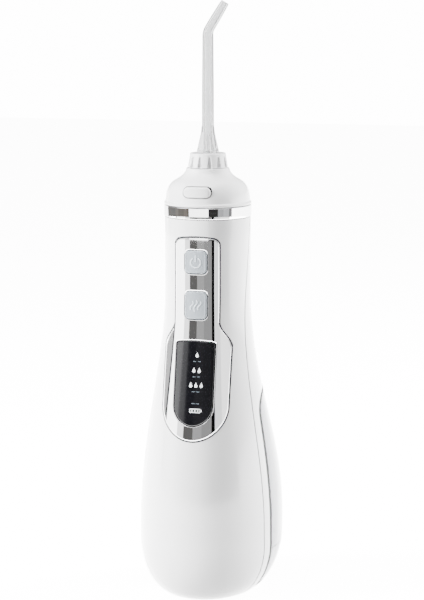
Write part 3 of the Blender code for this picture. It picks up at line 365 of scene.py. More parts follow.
def plate(name, outline, section, paint, holes=(), step=1.8, levels=None, surface=skin, normal=skinNormal):
    # a closed piece that lies on a surface; section runs from its top face round its edge, as (grow, depth)
    shape = bmesh.new()
    drawn = []
    for grow, depth in section:
        loops = [outline(grow), *[hole(-grow) for hole in holes]]
        drawn.append([loop if turnsLeft(loop) else loop[::-1] for loop in loops])
    rings = []
    for (grow, depth), loops in zip(section, drawn):
        rings.append([[shape.verts.new(surface(s, v, depth) * mm) for s, v in loop] for loop in loops])
    for upper, lower in zip(rings, rings[1:]):
        for number, (top, bottom) in enumerate(zip(upper, lower)):
            for i in range(len(top)):
                j = (i + 1) % len(top)
                face = (top[i], bottom[i], bottom[j], top[j])
                shape.faces.new(face if number == 0 else face[::-1])
    facing = {}
    for side in (0, -1):
        spots, faces = fill(drawn[side], levels, step)
        depth = section[side][1]
        verts = [vert for ring in rings[side] for vert in ring]
        for s, v in spots[len(verts):]:
            verts.append(shape.verts.new(surface(s, v, depth) * mm))
        for face in faces:
            corners = [verts[i] for i in face]
            shape.faces.new(corners if side == 0 else corners[::-1])
        if side == 0:
            facing = {vert: normal(s, v) for vert, (s, v) in zip(verts, spots)}
    shape.verts.index_update()
    normals = [facing.get(vert, Vector((0, 0, 0))) for vert in shape.verts]
    piece = addPiece(name, meshFrom(name, shape), paint)
    piece.data.normals_split_custom_set_from_vertices(normals)
    return piece


def merged(name, pieces):
    # several closed pieces become one object, with their own normals kept
    bpy.ops.object.select_all(action="DESELECT")
    for piece in pieces:
        piece.select_set(True)
    bpy.context.view_layer.objects.active = pieces[0]
    bpy.ops.object.join()
    pieces[0].name = name
    return pieces[0]


def loft(name, inset, bottom=0.4, top=180.0, sides=112):
    # a solid of the body's shape, for cutting with
    shape = bmesh.new()
    rings = []
    for z in [bottom, *[v for v in skinLevels if v > bottom + 0.2]]:
        halfWidth, halfDepth, centre = bodySection(z - max(inset, 0.0))
        ring = []
        for i in range(sides):
            angle = 2 * math.pi * i / sides
            x = (halfWidth - inset) * math.sin(angle)
            y = centre - (halfDepth - inset) * math.cos(angle)
            ring.append(shape.verts.new(Vector((x, y, top if z == body["top"] else z)) * mm))
        rings.append(ring)
    for low, high in zip(rings, rings[1:]):
        for i in range(sides):
            j = (i + 1) % sides
            shape.faces.new((low[i], low[j], high[j], high[i]))
    shape.faces.new(rings[0][::-1])
    shape.faces.new(rings[-1])
    return addPiece(name, meshFrom(name, shape), whiteGloss)


def prism(name, outline, span, matrix, paint=None):
    # an outline pushed out along the third axis of a matrix
    shape = bmesh.new()
    sides = []
    for depth in span:
        sides.append([shape.verts.new(matrix @ (Vector((u, v, depth)) * mm)) for u, v in outline])
    shape.faces.new(sides[0][::-1])
    shape.faces.new(sides[1])
    for i in range(len(outline)):
        j = (i + 1) % len(outline)
        shape.faces.new((sides[0][i], sides[0][j], sides[1][j], sides[1][i]))
    bmesh.ops.recalc_face_normals(shape, faces=shape.faces)
    if shape.calc_volume(signed=True) < 0:
        bmesh.ops.reverse_faces(shape, faces=shape.faces)
    return addPiece(name, meshFrom(name, shape), paint or whiteGloss)


sideways = Matrix(((0, 0, 1, 0), (1, 0, 0, 0), (0, 1, 0, 0), (0, 0, 0, 1)))
facingBack = Matrix(((1, 0, 0, 0), (0, 0, -1, 0), (0, 1, 0, 0), (0, 0, 0, 1)))


def rod(name, start, end, radius, endRadius=None, sides=48, paint=None):
    a, b = Vector(start) * mm, Vector(end) * mm
    shape = bmesh.new()
    bmesh.ops.create_cone(
        shape,
        cap_ends=True,
        segments=sides,
        radius1=radius * mm,
        radius2=(radius if endRadius is None else endRadius) * mm,
        depth=(b - a).length,
    )
    turn = (b - a).to_track_quat("Z", "Y").to_matrix().to_4x4()
    bmesh.ops.transform(shape, matrix=Matrix.Translation((a + b) / 2) @ turn, verts=shape.verts)
    return addPiece(name, meshFrom(name, shape), paint or whiteGloss)


def lathe(name, profile, paint, steps=144, sharp=32, push=None, part=1):
    # a closed profile of (radius, height) turned round the upright axis, or one equal part of the turn
    shape = bmesh.new()
    columns = []
    count = steps // part
    for i in range(count + (part > 1)):
        angle = 2 * math.pi * i / steps - (math.pi / part if part > 1 else 0)
        column = []
        for radius, z in profile:
            if push is not None:
                radius = push(radius, z, angle)
            column.append(
                shape.verts.new(Vector((radius * math.sin(angle), -radius * math.cos(angle), z)) * mm)
            )
        columns.append(column)
    pairs = list(zip(columns, columns[1:]))
    if part == 1:
        pairs.append((columns[-1], columns[0]))
    for this, other in pairs:
        for k in range(len(profile)):
            m = (k + 1) % len(profile)
            shape.faces.new((this[k], this[m], other[m], other[k]))
    if part == 1:
        bmesh.ops.recalc_face_normals(shape, faces=shape.faces)
    return addPiece(name, meshFrom(name, shape), paint, sharp)


def bezierProfile(*knots, steps=10):
    line = []
    for i in range(0, len(knots) - 1, 3):
        a, b, c, d = (Vector((r, 0, z)) for r, z in knots[i : i + 4])
        line += [(v.x, v.z) for v in interpolate_bezier(a, b, c, d, steps + 1)[:-1]]
    return [*line, knots[-1]]


def roundedBox(halfWidth, low, high, corner, grow=0.0):
    wide, radius = halfWidth - corner, corner + grow
    spots = []
    for cx, cz, start in ((wide, high, 0), (-wide, high, 90), (-wide, low, 180), (wide, low, 270)):
        cz += corner if cz == low else -corner
        spots += arc((cx, cz), radius, start, start + 90, 8)
        a = spots[-1]
        turn = math.radians(start + 90)
        after = {
            0: (-wide, high - corner),
            90: (-wide, low + corner),
            180: (wide, low + corner),
            270: (wide, high - corner),
        }[start]
        b = (after[0] + radius * math.cos(turn), after[1] + radius * math.sin(turn))
        spots += [(a[0] + (b[0] - a[0]) * i / 8, a[1] + (b[1] - a[1]) * i / 8) for i in range(1, 8)]
    return spots


# outlines of the openings and of the pieces that fill them

panel = {
    "narrow": 10.3,
    "wide": 15.6,
    "bowl": 94.0,
    "wideTop": 121.0,
    "narrowFrom": 133.0,
    "top": 168.4,
    "corner": 3.0,
    "topRise": 0.6,
    "windowHalf": 9.3,
    "windowBowl": 94.5,
    "windowTop": 122.0,
    "windowRise": 2.3,
    "keyHalf": 5.1,
    "keyCorner": 2.0,
    "power": (155.4, 166.0),
    "mode": (134.2, 147.0),
}


def panelOutline(grow=0.0):
    right = arc((0, panel["bowl"]), panel["wide"] + grow, -90, 0, 30)
    right += [(panel["wide"] + grow, z) for z in spread(panel["bowl"], panel["wideTop"], 20)[1:]]
    for z in spread(panel["wideTop"], panel["narrowFrom"], 16):
        right.append(
            (ease(panel["wide"], panel["narrow"], panel["wideTop"], panel["narrowFrom"], z) + grow, z)
        )
    right += [(panel["narrow"] + grow, z) for z in spread(panel["narrowFrom"], panel["top"], 24)]
    right += arc((panel["narrow"] - panel["corner"], panel["top"]), panel["corner"] + grow, 0, 90, 14)[1:]
    edge, flat = right[-1]
    for i in range(1, 11):
        right.append((edge * (1 - i / 10), flat + panel["topRise"] * math.sin(math.pi / 2 * i / 10)))
    return onFront([*right, *[(-x, z) for x, z in reversed(right[1:-1])]])


def windowOutline(grow=0.0):
    half = panel["windowHalf"] + grow
    right = arc((0, panel["windowBowl"]), half, -90, 0, 24)
    right += [(half, z) for z in spread(panel["windowBowl"], panel["windowTop"], 20)[1:]]
    for i in range(17):
        share = (i / 16) ** 1.6
        right.append(
            (half * (1 - share**2.2), panel["windowTop"] + panel["windowRise"] * math.sqrt(share) + grow)
        )
    return onFront([*right, *[(-x, z) for x, z in reversed(right[1:-1])]])


def keyOutline(heights):
    def outline(grow=0.0):
        return onFront(roundedBox(panel["keyHalf"], *heights, panel["keyCorner"], grow))

    return outline


def wider(outline, extra=gap):
    return lambda grow=0.0: outline(grow + extra)


def seamAt(v):
    fall = min((body["top"] - v) / body["seamFall"], 1.0)
    return body["seamTop"] - body["seamDepth"] * math.sin(math.pi / 2 * fall)


def seamSide(offset, grow):
    low, high = -body["underside"] - grow, body["top"] + grow
    first, last = skinLevels[0], skinLevels[-1]
    rows = [low + (high - low) * (v - first) / (last - first) for v in skinLevels]
    return [(aroundAt(seamAt(v) + offset, v), v) for v in rows]


def frontOutline(grow=0.0):
    right = seamSide(grow - gap / 2, grow)
    (s0, low), (s1, high) = right[0], right[-1]
    top = [(s, high) for s in spread(s1, -s1, 44)[1:]]
    bottom = [(s, low) for s in spread(-s0, s0, 30)[1:]]
    return [*right, *top, *[(-s, v) for s, v in reversed(right)], *bottom]


def rearOutline(grow=0.0):
    round_ = 2 * math.pi * body["girth"]
    near = seamSide(gap / 2 - grow, grow)
    far = [(round_ - s, v) for s, v in near]
    (s0, low), (s1, high) = near[0], near[-1]
    top = [(s, high) for s in spread(round_ - s1, s1, 44)[1:]]
    bottom = [(s, low) for s in spread(s0, round_ - s0, 70)[1:]]
    return [*far, *top, *reversed(near), *bottom]


tank = {
    "front": -4.8,
    "bottom": 4.5,
    "joint": 23.0,
    "arcRadius": 12.0,
    "arcHeight": 86.0,
    "slope": 16.0,
    "wall": 1.6,
    "bayWall": 1.8,
    "outlet": (14.0, 78.0, 2.2),
}


def tankSide(grow, bottom, steps=50):
    # the tank's edge seen from the side, as (y, z), up to where its roof meets the back
    low = bottom - grow
    spots = [(tank["front"] - grow, z) for z in spread(low, tank["arcHeight"], steps)]
    middle = tank["front"] + tank["arcRadius"]
    spots += arc((middle, tank["arcHeight"]), tank["arcRadius"] + grow, 180, 90 + tank["slope"], 24)
    return spots


def tankOutline(grow=0.0):
    side = tankSide(grow, tank["bottom"])
    y0, z0 = side[-1]
    rise = math.tan(math.radians(tank["slope"]))
    near, beyond = y0, 60.0
    for _ in range(40):
        y = (near + beyond) / 2
        halfWidth, halfDepth, centre = bodySection(z0 + (y - y0) * rise)
        near, beyond = (y, beyond) if y < centre + halfDepth else (near, y)
    for i in range(1, 41):
        y = y0 + (near - y0) * (1 - (1 - i / 40) ** 2)
        side.append((y, z0 + (y - y0) * rise))
    right = [(aroundAt(y, z), z) for y, z in side]
    round_ = 2 * math.pi * body["girth"]
    right[-1] = (round_ / 2, right[-1][1])
    left = [(round_ - s, v) for s, v in reversed(right[:-1])]
    bottom = [(s, right[0][1]) for s in spread(round_ - right[0][0], right[0][0], 70)[1:]]
    return [*right, *left, *bottom]


port = {"half": 6.0, "low": 145.5, "high": 154.5, "corner": 1.2, "thickness": 1.2}


def portOutline(grow=0.0):
    return onBack(roundedBox(port["half"], port["low"], port["high"], port["corner"], grow))


# casing

shellEdge = [(-0.35, 0.0), (-0.18, 0.03), (-0.05, 0.13), (0.0, 0.3), (0.0, body["wall"])]


def makeShells():
    front = plate("frontShell", frontOutline, shellEdge, whiteGloss, [wider(panelOutline)], 1.8, skinLevels)
    hand(front, "handle", "white_shell", "front_shell")
    rear = plate(
        "rearShell", rearOutline, shellEdge, whiteGloss,
        [wider(tankOutline), wider(portOutline)], 1.8, skinLevels
    )
    hand(rear, "handle", "white_shell", "rear_shell")
    recessEdge = [(0.0, 1.55), (0.0, 2.6)]
    recess = plate(
        "portRecess",
        wider(portOutline, 0.6),
        recessEdge,
        whiteGloss,
        [lambda grow=0.0: onBack(roundedBox(5.0, 147.0, 153.0, 1.0, grow))],
    )
    hand(recess, "handle", "white_shell", "rear_shell")


def makePaintedGapShades():
    # dark strips set in the gaps between the two shells and round the tank: painted shade for the shadow in
    # those gaps
    thin = [(-0.03, 0.04), (0.0, 0.08), (0.0, 1.0)]
    seamShade = plate(
        "seamShadeStrip", wider(frontOutline, 0.36), thin, paintedSeamShade, [wider(frontOutline, -0.12)], 1.8, skinLevels
    )
    hand(seamShade, "handle", "white_shell")
    proud = [(-0.05, -0.04), (0.0, 0.0), (0.0, 1.2)]
    # a black strip round the tank's edge: painted shade for the dark line along that gap
    tankShade = plate(
        "tankShadeStrip", wider(tankOutline, 0.2), proud, paintedGapShade, [wider(tankOutline, -1.5)], 1.8, skinLevels
    )
    hand(tankShade, "tank", "tank_clear")


makeShells()
makePaintedGapShades()
print("shells done")


# control panel

plateEdge = {
    "panel": [(-0.5, -0.30), (-0.26, -0.29), (-0.12, -0.24), (-0.03, -0.12), (0.0, 0.05), (0.0, 1.5)],
    "seal": [(-0.03, -0.07), (0.0, -0.04), (0.0, 0.8)],
    "window": [(-0.5, -0.10), (-0.25, -0.08), (-0.06, 0.02), (0.0, 0.15), (0.0, 1.3)],
    "key": [
        (-1.25, -0.66), (-1.05, -0.69), (-0.85, -0.78), (-0.6, -0.8),
        (-0.3, -0.72), (-0.08, -0.5), (0.0, -0.2), (0.0, 2.3),
    ],
    "mark": [(-0.04, -0.15), (0.0, -0.12), (0.0, -0.02)],
    "symbol": [(-0.12, -0.82), (-0.03, -0.79), (0.0, -0.72), (0.0, -0.6)],
}


def stroke(spots, width):
    # a band of even width along a line, with round ends
    line = [Vector(p) for p in spots]
    left, right = [], []
    for i, spot in enumerate(line):
        ahead = (line[min(i + 1, len(line) - 1)] - line[max(i - 1, 0)]).normalized()
        side = Vector((-ahead.y, ahead.x)) * width / 2
        left.append(spot + side)
        right.append(spot - side)
    ends = []
    for spot, ahead in ((line[-1], line[-1] - line[-2]), (line[0], line[0] - line[1])):
        start = math.degrees(math.atan2(ahead.y, ahead.x)) - 90
        ends.append(arc(spot, width / 2, start, start + 180, 8)[1:-1])
    return [*[tuple(p) for p in right], *ends[0], *[tuple(p) for p in reversed(left)], *ends[1]]


def grown(spots, grow):
    # each point moves square to its neighbours' line; the loop runs anticlockwise
    if not grow:
        return spots
    moved = []
    for before, spot, after in zip([spots[-1], *spots[:-1]], spots, [*spots[1:], spots[0]]):
        along = Vector(after) - Vector(before)
        if along.length < 1e-9:
            moved.append(spot)
            continue
        along.normalize()
        moved.append((spot[0] + along.y * grow, spot[1] - along.x * grow))
    return moved


def sign(name, spots, edge, paint, hole=None):
    loop = spots if turnsLeft(spots) else spots[::-1]
    holes = [lambda grow=0.0: onFront(grown(hole, grow))] if hole else []
    return plate(name, lambda grow=0.0: onFront(grown(loop, grow)), edge, paint, holes)


def makePanel():
    rows = list(np.arange(76, 174, 0.8))
    openings = [wider(windowOutline), wider(keyOutline(panel["power"])), wider(keyOutline(panel["mode"]))]
    plated = plate("controlPanel", panelOutline, plateEdge["panel"], chrome, openings, 0.8, rows)
    hand(plated, "handle", "chrome_trim", "control_panel")
    # a black strip in the gap round the panel: painted shade for the shadow gap at the panel's edge
    seal = plate(
        "panelShadeStrip", wider(panelOutline, 0.72), plateEdge["seal"], paintedGapShade,
        [wider(panelOutline, -0.06)], 0.8, rows,
    )
    hand(seal, "handle", "black_window")
    window = plate("displayWindow", windowOutline, plateEdge["window"], blackGloss, [], 0.8, rows)
    hand(window, "handle", "black_window", "display_window")


display = {
    "rows": ((117.9, 1), (110.9, 2), (104.1, 3)),
    "dropWidth": 1.5,
    "dropHeight": 2.5,
    "dropPitch": 2.5,
    "centre": 1.3,
    "lampDrop": 3.1,
    "lampWidth": 3.2,
    "batteryHeight": 92.3,
}


def dropShape(x, z):
    # a water drop: round below, drawn to a point above
    half, tall = display["dropWidth"] / 2, display["dropHeight"]
    low = z - tall / 2 + half
    spots = arc((x, low), half, 160, 380, 14)
    return [
        *spots, (x + half * 0.45, low + half * 1.15), (x, z + tall / 2), (x - half * 0.45, low + half * 1.15)
    ]


def makeDisplayMarks():
    signs = []
    for z, count in display["rows"]:
        for i in range(count):
            x = display["centre"] + (i - (count - 1) / 2) * display["dropPitch"]
            signs.append(sign("drop", dropShape(x, z), plateEdge["mark"], markWhite))
        low = z - display["lampDrop"]
        half = display["lampWidth"] / 2
        bar = stroke([(display["centre"] - half, low), (display["centre"] + half, low)], 0.45)
        signs.append(sign("lamp", bar, plateEdge["mark"], markBlue))
    z = display["batteryHeight"]
    x = display["centre"]
    outer = roundedBox(2.6, -0.95, 0.95, 0.4)
    inner = roundedBox(2.25, -0.6, 0.6, 0.2)
    outer = [(x + u, z + v) for u, v in outer]
    inner = [(x + u, z + v) for u, v in inner]
    signs.append(sign("frame", outer, plateEdge["mark"], markWhite, inner))
    signs.append(
        sign("pole", stroke([(x + 2.95, z - 0.3), (x + 2.95, z + 0.3)], 0.35), plateEdge["mark"], markWhite)
    )
    for i in (-1, 0, 1):
        bar = stroke([(x + i * 1.35, z - 0.2), (x + i * 1.35, z + 0.2)], 0.62)
        signs.append(sign("level", bar, plateEdge["mark"], markWhite))
    bar = stroke([(x - 1.6, z + 3.3), (x + 1.6, z + 3.3)], 0.45)
    signs.append(sign("chargeLamp", bar, plateEdge["mark"], markBlue))
    hand(merged("displayMarks", signs), "handle", "black_window")


key = {
    "ring": 2.3,
    "line": 0.62,
    "jets": ((-1.8, 1.9), (0.0, 2.7), (1.8, 1.9)),
    "jetSway": 0.45,
    "jetLean": 0.5,
}


def makeKeys():
    for name, heights, body_ in (
        ("powerKey", panel["power"], "power_button"),
        ("modeKey", panel["mode"], "mode_button"),
    ):
        rows = list(np.arange(heights[0], heights[1], 0.5))
        cap = plate(name, keyOutline(heights), plateEdge["key"], satinKey, [], 0.5, rows)
        hand(cap, body_, "button_satin", body_)
        z = sum(heights) / 2
        if name == "powerKey":
            ring = sign(
                "ring", stroke(arc((0, z - 0.2), key["ring"], 125, 415, 32), key["line"]),
                plateEdge["symbol"], keySymbol,
            )
            bar = sign(
                "bar", stroke([(0, z + 0.4), (0, z + 1.6), (0, z + 2.9)], key["line"]),
                plateEdge["symbol"], keySymbol,
            )
            symbol = merged("powerSymbol", [ring, bar])
        else:
            # three leaning, wavy jets of water
            strokes = []
            for x, tall in key["jets"]:
                shares = spread(-1, 1, 16)
                spots = [
                    (x + key["jetLean"] * u + key["jetSway"] * math.sin(math.pi * u), z + tall * u)
                    for u in shares
                ]
                strokes.append(sign("jet", stroke(spots, key["line"]), plateEdge["symbol"], keySymbol))
            symbol = merged("modeSymbol", strokes)
        hand(symbol, body_, "button_satin")


makePanel()
makeDisplayMarks()
makeKeys()
print("panel done")

# neck ring, head and release button

ring = {"radius": 20.35, "inner": 18.2, "low": 180.3, "high": 185.5, "round": 0.25}
head = {
    "bottom": 185.8,
    "top": 202.5,
    "wall": 1.8,
    "releaseHeight": 192.6,
    "releaseHalf": (6.8, 2.5),
    "releaseRadius": 20.0,
}


def makeNeck():
    r, low, high, soft = ring["radius"], ring["low"], ring["high"], ring["round"]
    outer = [*arc((r - soft, high - soft), soft, 90, 0, 4), *arc((r - soft, low + soft), soft, 0, -90, 4)]
    band = lathe("neckRing", [*outer, (ring["inner"], low), (ring["inner"], high)], chrome, 180)
    hand(band, "handle", "chrome_trim", "neck_ring")
    top = head["top"]
    crown = bezierProfile((9.6, top), (9.9, top), (10.05, top - 0.1), (10.1, top - 0.5), steps=4)
    outside = bezierProfile(
        (10.1, top - 0.5), (10.6, 200.0), (12.2, 198.5), (15.2, 196.9),
        (18.4, 195.2), (19.6, 191.8), (19.7, 187.6)
    )
    lip = bezierProfile(
        (19.75, 187.3), (19.9, 187.1), (20.35, 187.1), (20.45, 186.6),
        (20.5, 186.3), (20.4, 185.9), (20.2, 185.8), steps=4,
    )
    inside = bezierProfile(
        (17.9, 187.6), (17.8, 191.2), (16.8, 193.6), (14.2, 195.1),
        (11.4, 196.7), (9.2, 198.4), (8.4, top - head["wall"])
    )
    profile = [
        *crown[:-1], *outside, *lip, (18.2, head["bottom"]), *inside, (7.1, top - head["wall"]), (7.1, top)
    ]
    cap = lathe("headCap", profile, whiteGloss, 180)
    opening = prism("releaseOpening", releaseShape(gap), (8, 40), facingBack)
    hand(combine(cap, [opening]), "handle", "white_shell", "head_cap")


def releaseShape(grow=0.0):
    halfWidth, halfHeight = head["releaseHalf"]
    reach, radius, z = halfWidth - halfHeight, halfHeight + grow, head["releaseHeight"]
    right = arc((reach, z), radius, -90, 90, 20)
    left = arc((-reach, z), radius, 90, 270, 20)
    return [
        *right,
        *[(x, z + radius) for x in spread(reach, -reach, 10)[1:]],
        *left,
        *[(x, z - radius) for x in spread(-reach, reach, 10)[1:]],
    ]


def headSkin(s, v, depth):
    radius = head["releaseRadius"]
    angle = s / radius
    return Vector(((radius - depth) * math.sin(angle), -(radius - depth) * math.cos(angle), v))


def headNormal(s, v):
    return Vector((math.sin(s / head["releaseRadius"]), -math.cos(s / head["releaseRadius"]), 0))


def makeRelease():
    def outline(grow=0.0):
        return [
            (head["releaseRadius"] * math.asin(x / head["releaseRadius"]), z) for x, z in releaseShape(grow)
        ]

    edge = [(-1.5, 0.0), (-1.0, 0.03), (-0.6, 0.13), (-0.3, 0.3), (-0.08, 0.6), (0.0, 0.95), (0.0, 4.2)]
    rows = list(np.arange(189, 196, 0.6))
    button = plate("releaseButton", outline, edge, whiteGloss, [], 0.7, rows, headSkin, headNormal)
    hand(button, "release_button", "white_shell", "release_button")


makeNeck()
makeRelease()
print("neck done")

# dial and jet tip: one segment is drawn and a node tree sets the equal segments round the axis


def ringTree():
    tree = bpy.data.node_groups.new("segmentsInARing", "GeometryNodeTree")
    face = tree.interface
    face.new_socket("Geometry", in_out="INPUT", socket_type="NodeSocketGeometry")
    face.new_socket("Segment Count", in_out="INPUT", socket_type="NodeSocketInt")
    face.new_socket("Merge Distance", in_out="INPUT", socket_type="NodeSocketFloat")
    face.new_socket("Finish", in_out="INPUT", socket_type="NodeSocketMaterial")
    face.new_socket("Geometry", in_out="OUTPUT", socket_type="NodeSocketGeometry")
    new, link = tree.nodes.new, tree.links.new
    given, result = new("NodeGroupInput"), new("NodeGroupOutput")
    points = new("GeometryNodeMeshLine")  # one point for each segment, all on the axis
    points.inputs["Offset"].default_value = (0, 0, 0)
    link(given.outputs["Segment Count"], points.inputs["Count"])
    turn = new("ShaderNodeMath")
    turn.operation = "DIVIDE"
    turn.inputs[0].default_value = 2 * math.pi
    link(given.outputs["Segment Count"], turn.inputs[1])
    step = new("ShaderNodeMath")
    step.operation = "MULTIPLY"
    number = new("GeometryNodeInputIndex")
    link(number.outputs[0], step.inputs[0])
    link(turn.outputs[0], step.inputs[1])
    spin = new("ShaderNodeCombineXYZ")
    link(step.outputs[0], spin.inputs["Z"])
    put = new("GeometryNodeInstanceOnPoints")
    link(points.outputs["Mesh"], put.inputs["Points"])
    link(given.outputs["Geometry"], put.inputs["Instance"])
    link(spin.outputs["Vector"], put.inputs["Rotation"])
    real = new("GeometryNodeRealizeInstances")
    link(put.outputs["Instances"], real.inputs["Geometry"])
    weld = new("GeometryNodeMergeByDistance")
    link(real.outputs["Geometry"], weld.inputs["Geometry"])
    link(given.outputs["Merge Distance"], weld.inputs["Distance"])
    paint = new("GeometryNodeSetMaterial")
    link(weld.outputs["Geometry"], paint.inputs["Geometry"])
    link(given.outputs["Finish"], paint.inputs["Material"])
    link(paint.outputs["Geometry"], result.inputs["Geometry"])
    return tree


segmentsInARing = ringTree()


def setInputs(step, values):
    for item in step.node_group.interface.items_tree:
        if item.in_out == "INPUT" and item.name in values:
            step[item.identifier] = values[item.name]


def ringOf(segment, count, paint, sharp=32):
    step = segment.modifiers.new("ring", "NODES")
    step.node_group = segmentsInARing
    setInputs(step, {"Segment Count": count, "Merge Distance": 0.000004, "Finish": paint})
    return bake(segment, sharp)


dial = {
    "low": 202.8,
    "high": 209.4,
    "bottomRadius": 9.3,
    "topRadius": 8.3,
    "grooves": 12,
    "turn": 21.0,
    "bore": 3.4,
}


def groovePush(axisLow, axisHigh, lowZ, highZ, lowRadius, highRadius, turn, count):
    # a tapering round groove pressed in from outside; its ends are rounded off
    def push(radius, z, angle):
        if not lowZ - 2 < z < highZ + highRadius or radius < axisHigh - 3:
            return radius
        pitch = 2 * math.pi / count
        away = (angle - turn + pitch / 2) % pitch - pitch / 2
        share = min(max((z - lowZ) / (highZ - lowZ), 0.0), 1.0)
        tool = lowRadius + (highRadius - lowRadius) * share
        beyond = max(z - highZ, 0.0) / highRadius
        tool *= math.sqrt(max(1 - beyond * beyond, 0.0))
        across = radius * math.sin(away)
        if abs(across) >= tool:
            return radius
        return min(radius, axisLow + (axisHigh - axisLow) * share - math.sqrt(tool * tool - across * across))

    return push


def dense(profile, step):
    line = []
    for (r0, z0), (r1, z1) in zip(profile, [*profile[1:], profile[0]]):
        count = max(1, round(math.hypot(r1 - r0, z1 - z0) / step))
        line += [(r0 + (r1 - r0) * i / count, z0 + (z1 - z0) * i / count) for i in range(count)]
    return line


def makeDial():
    low, high = dial["low"], dial["high"]
    rTop, rLow = dial["topRadius"], dial["bottomRadius"]
    profile = [
        (dial["bore"], high),
        *arc((rTop - 0.35, high - 0.35), 0.35, 90, 10, 4),
        (rTop + 0.1, high - 1.2),
        (rLow, low + 0.35),
        *arc((rLow - 0.3, low + 0.3), 0.3, 0, -90, 3),
        (6.7, low),
        (6.7, 200.2),
        (7.6, 200.2),
        (7.6, 199.4),
        (6.7, 198.4),
        (dial["bore"], 198.4),
    ]
    push = groovePush(9.5, 8.78, low - 1, high - 1.75, 1.25, 0.7, 0.0, dial["grooves"])
    segment = lathe("nozzleDial", dense(profile, 0.3), whiteGloss, 360, 32, push, dial["grooves"])
    segment.data.transform(Matrix.Rotation(math.radians(dial["turn"]), 4, "Z"))
    piece = ringOf(segment, dial["grooves"], whiteGloss, 40)
    # faces inside the grooves get the darker grey: painted shade in the grooves
    piece.data.materials.append(paintedGrooveShade)
    for face in piece.data.polygons:
        x, y, z = face.center / mm
        share = (z - low) / (high - low)
        if low + 0.3 < z < high - 0.9 and 7 < math.hypot(x, y) < rLow + (rTop - rLow) * share - 0.28:
            face.material_index = 1
    hand(piece, "dial", "white_shell", "nozzle_dial")


tip = {
    "shank": 3.1,
    "shankLow": 188.5,
    "hub": (209.7, 219.0),
    "hubRadius": 5.25,
    "turn": 20.0,
    "bendHeight": 265.5,
    "bend": 31.0,
    "bendRadius": 7.0,
    "outside": [2.9, 2.8, 2.6, 2.5, 2.45, 2.4, 2.35, 2.3, 2.1, 1.8],
    "bore": [1.5, 1.4, 1.3, 1.2, 1.15, 1.1, 1.05, 1.0, 0.8, 0.5],
}


def tipRoute():
    spots = [Vector((0, 0, z)) for z in (214.0, 222.0, 230.0, 240.0, 248.0, 256.0, tip["bendHeight"] - 2.0)]
    for i in range(1, 13):
        angle = math.radians(tip["bend"]) * i / 12
        x = tip["bendRadius"] * (1 - math.cos(angle))
        spots.append(Vector((x, 0, tip["bendHeight"] - 2.0 + tip["bendRadius"] * math.sin(angle))))
    ahead = Vector((math.sin(math.radians(tip["bend"])), 0, math.cos(math.radians(tip["bend"]))))
    start = spots[-1]
    spots += [start + ahead * length for length in (3.2, 6.5, 9.0, 11.5, 12.9, 13.35, 13.6)]
    return [Matrix.Rotation(math.radians(tip["turn"]), 3, "Z") @ p for p in spots]


def tubeTree():
    tree = bpy.data.node_groups.new("taperedTube", "GeometryNodeTree")
    face = tree.interface
    face.new_socket("Geometry", in_out="INPUT", socket_type="NodeSocketGeometry")
    face.new_socket("Sides", in_out="INPUT", socket_type="NodeSocketInt")
    face.new_socket("Finish", in_out="INPUT", socket_type="NodeSocketMaterial")
    face.new_socket("Geometry", in_out="OUTPUT", socket_type="NodeSocketGeometry")
    new, link = tree.nodes.new, tree.links.new
    given, result = new("NodeGroupInput"), new("NodeGroupOutput")
    curve = new("GeometryNodeMeshToCurve")
    link(given.outputs["Geometry"], curve.inputs["Mesh"])
    width = new("GeometryNodeInputNamedAttribute")
    width.data_type = "FLOAT"
    width.inputs["Name"].default_value = "width"
    profile = new("GeometryNodeCurvePrimitiveCircle")
    profile.inputs["Radius"].default_value = 1.0
    link(given.outputs["Sides"], profile.inputs["Resolution"])
    sweep = new("GeometryNodeCurveToMesh")
    sweep.inputs["Fill Caps"].default_value = True
    radius = new("GeometryNodeSetCurveRadius")
    link(curve.outputs["Curve"], radius.inputs["Curve"])
    link(width.outputs["Attribute"], radius.inputs["Radius"])
    link(radius.outputs["Curve"], sweep.inputs["Curve"])
    link(profile.outputs["Curve"], sweep.inputs["Profile Curve"])
    if "Scale" in sweep.inputs:
        link(width.outputs["Attribute"], sweep.inputs["Scale"])
        radius.inputs["Radius"].default_value = 1.0
        for wire in list(radius.inputs["Radius"].links):
            tree.links.remove(wire)
    real = new("GeometryNodeRealizeInstances")
    link(sweep.outputs["Mesh"], real.inputs["Geometry"])
    paint = new("GeometryNodeSetMaterial")
    link(real.outputs["Geometry"], paint.inputs["Geometry"])
    link(given.outputs["Finish"], paint.inputs["Material"])
    link(paint.outputs["Geometry"], result.inputs["Geometry"])
    return tree


taperedTube = tubeTree()


def tubeAlong(name, spots, widths, paint, sides=48):
    mesh = bpy.data.meshes.new(name)
    mesh.from_pydata([tuple(p * mm) for p in spots], [(i, i + 1) for i in range(len(spots) - 1)], [])
    mesh.attributes.new("width", "FLOAT", "POINT").data.foreach_set("value", [w * mm for w in widths])
    piece = bpy.data.objects.new(name, mesh)
    bpy.context.scene.collection.objects.link(piece)
    step = piece.modifiers.new("tube", "NODES")
    step.node_group = taperedTube
    setInputs(step, {"Sides": sides, "Finish": paint})
    bake(piece)
    shape = bmesh.new()
    shape.from_mesh(piece.data)
    bmesh.ops.remove_doubles(shape, verts=shape.verts, dist=0.000002)
    bmesh.ops.recalc_face_normals(shape, faces=shape.faces)
    shape.to_mesh(piece.data)
    shape.free()
    return piece


def along(values, count):
    # widths for every point of the route, by linear steps between the given ones
    spots = np.linspace(0, len(values) - 1, count)
    return list(np.interp(spots, range(len(values)), values))


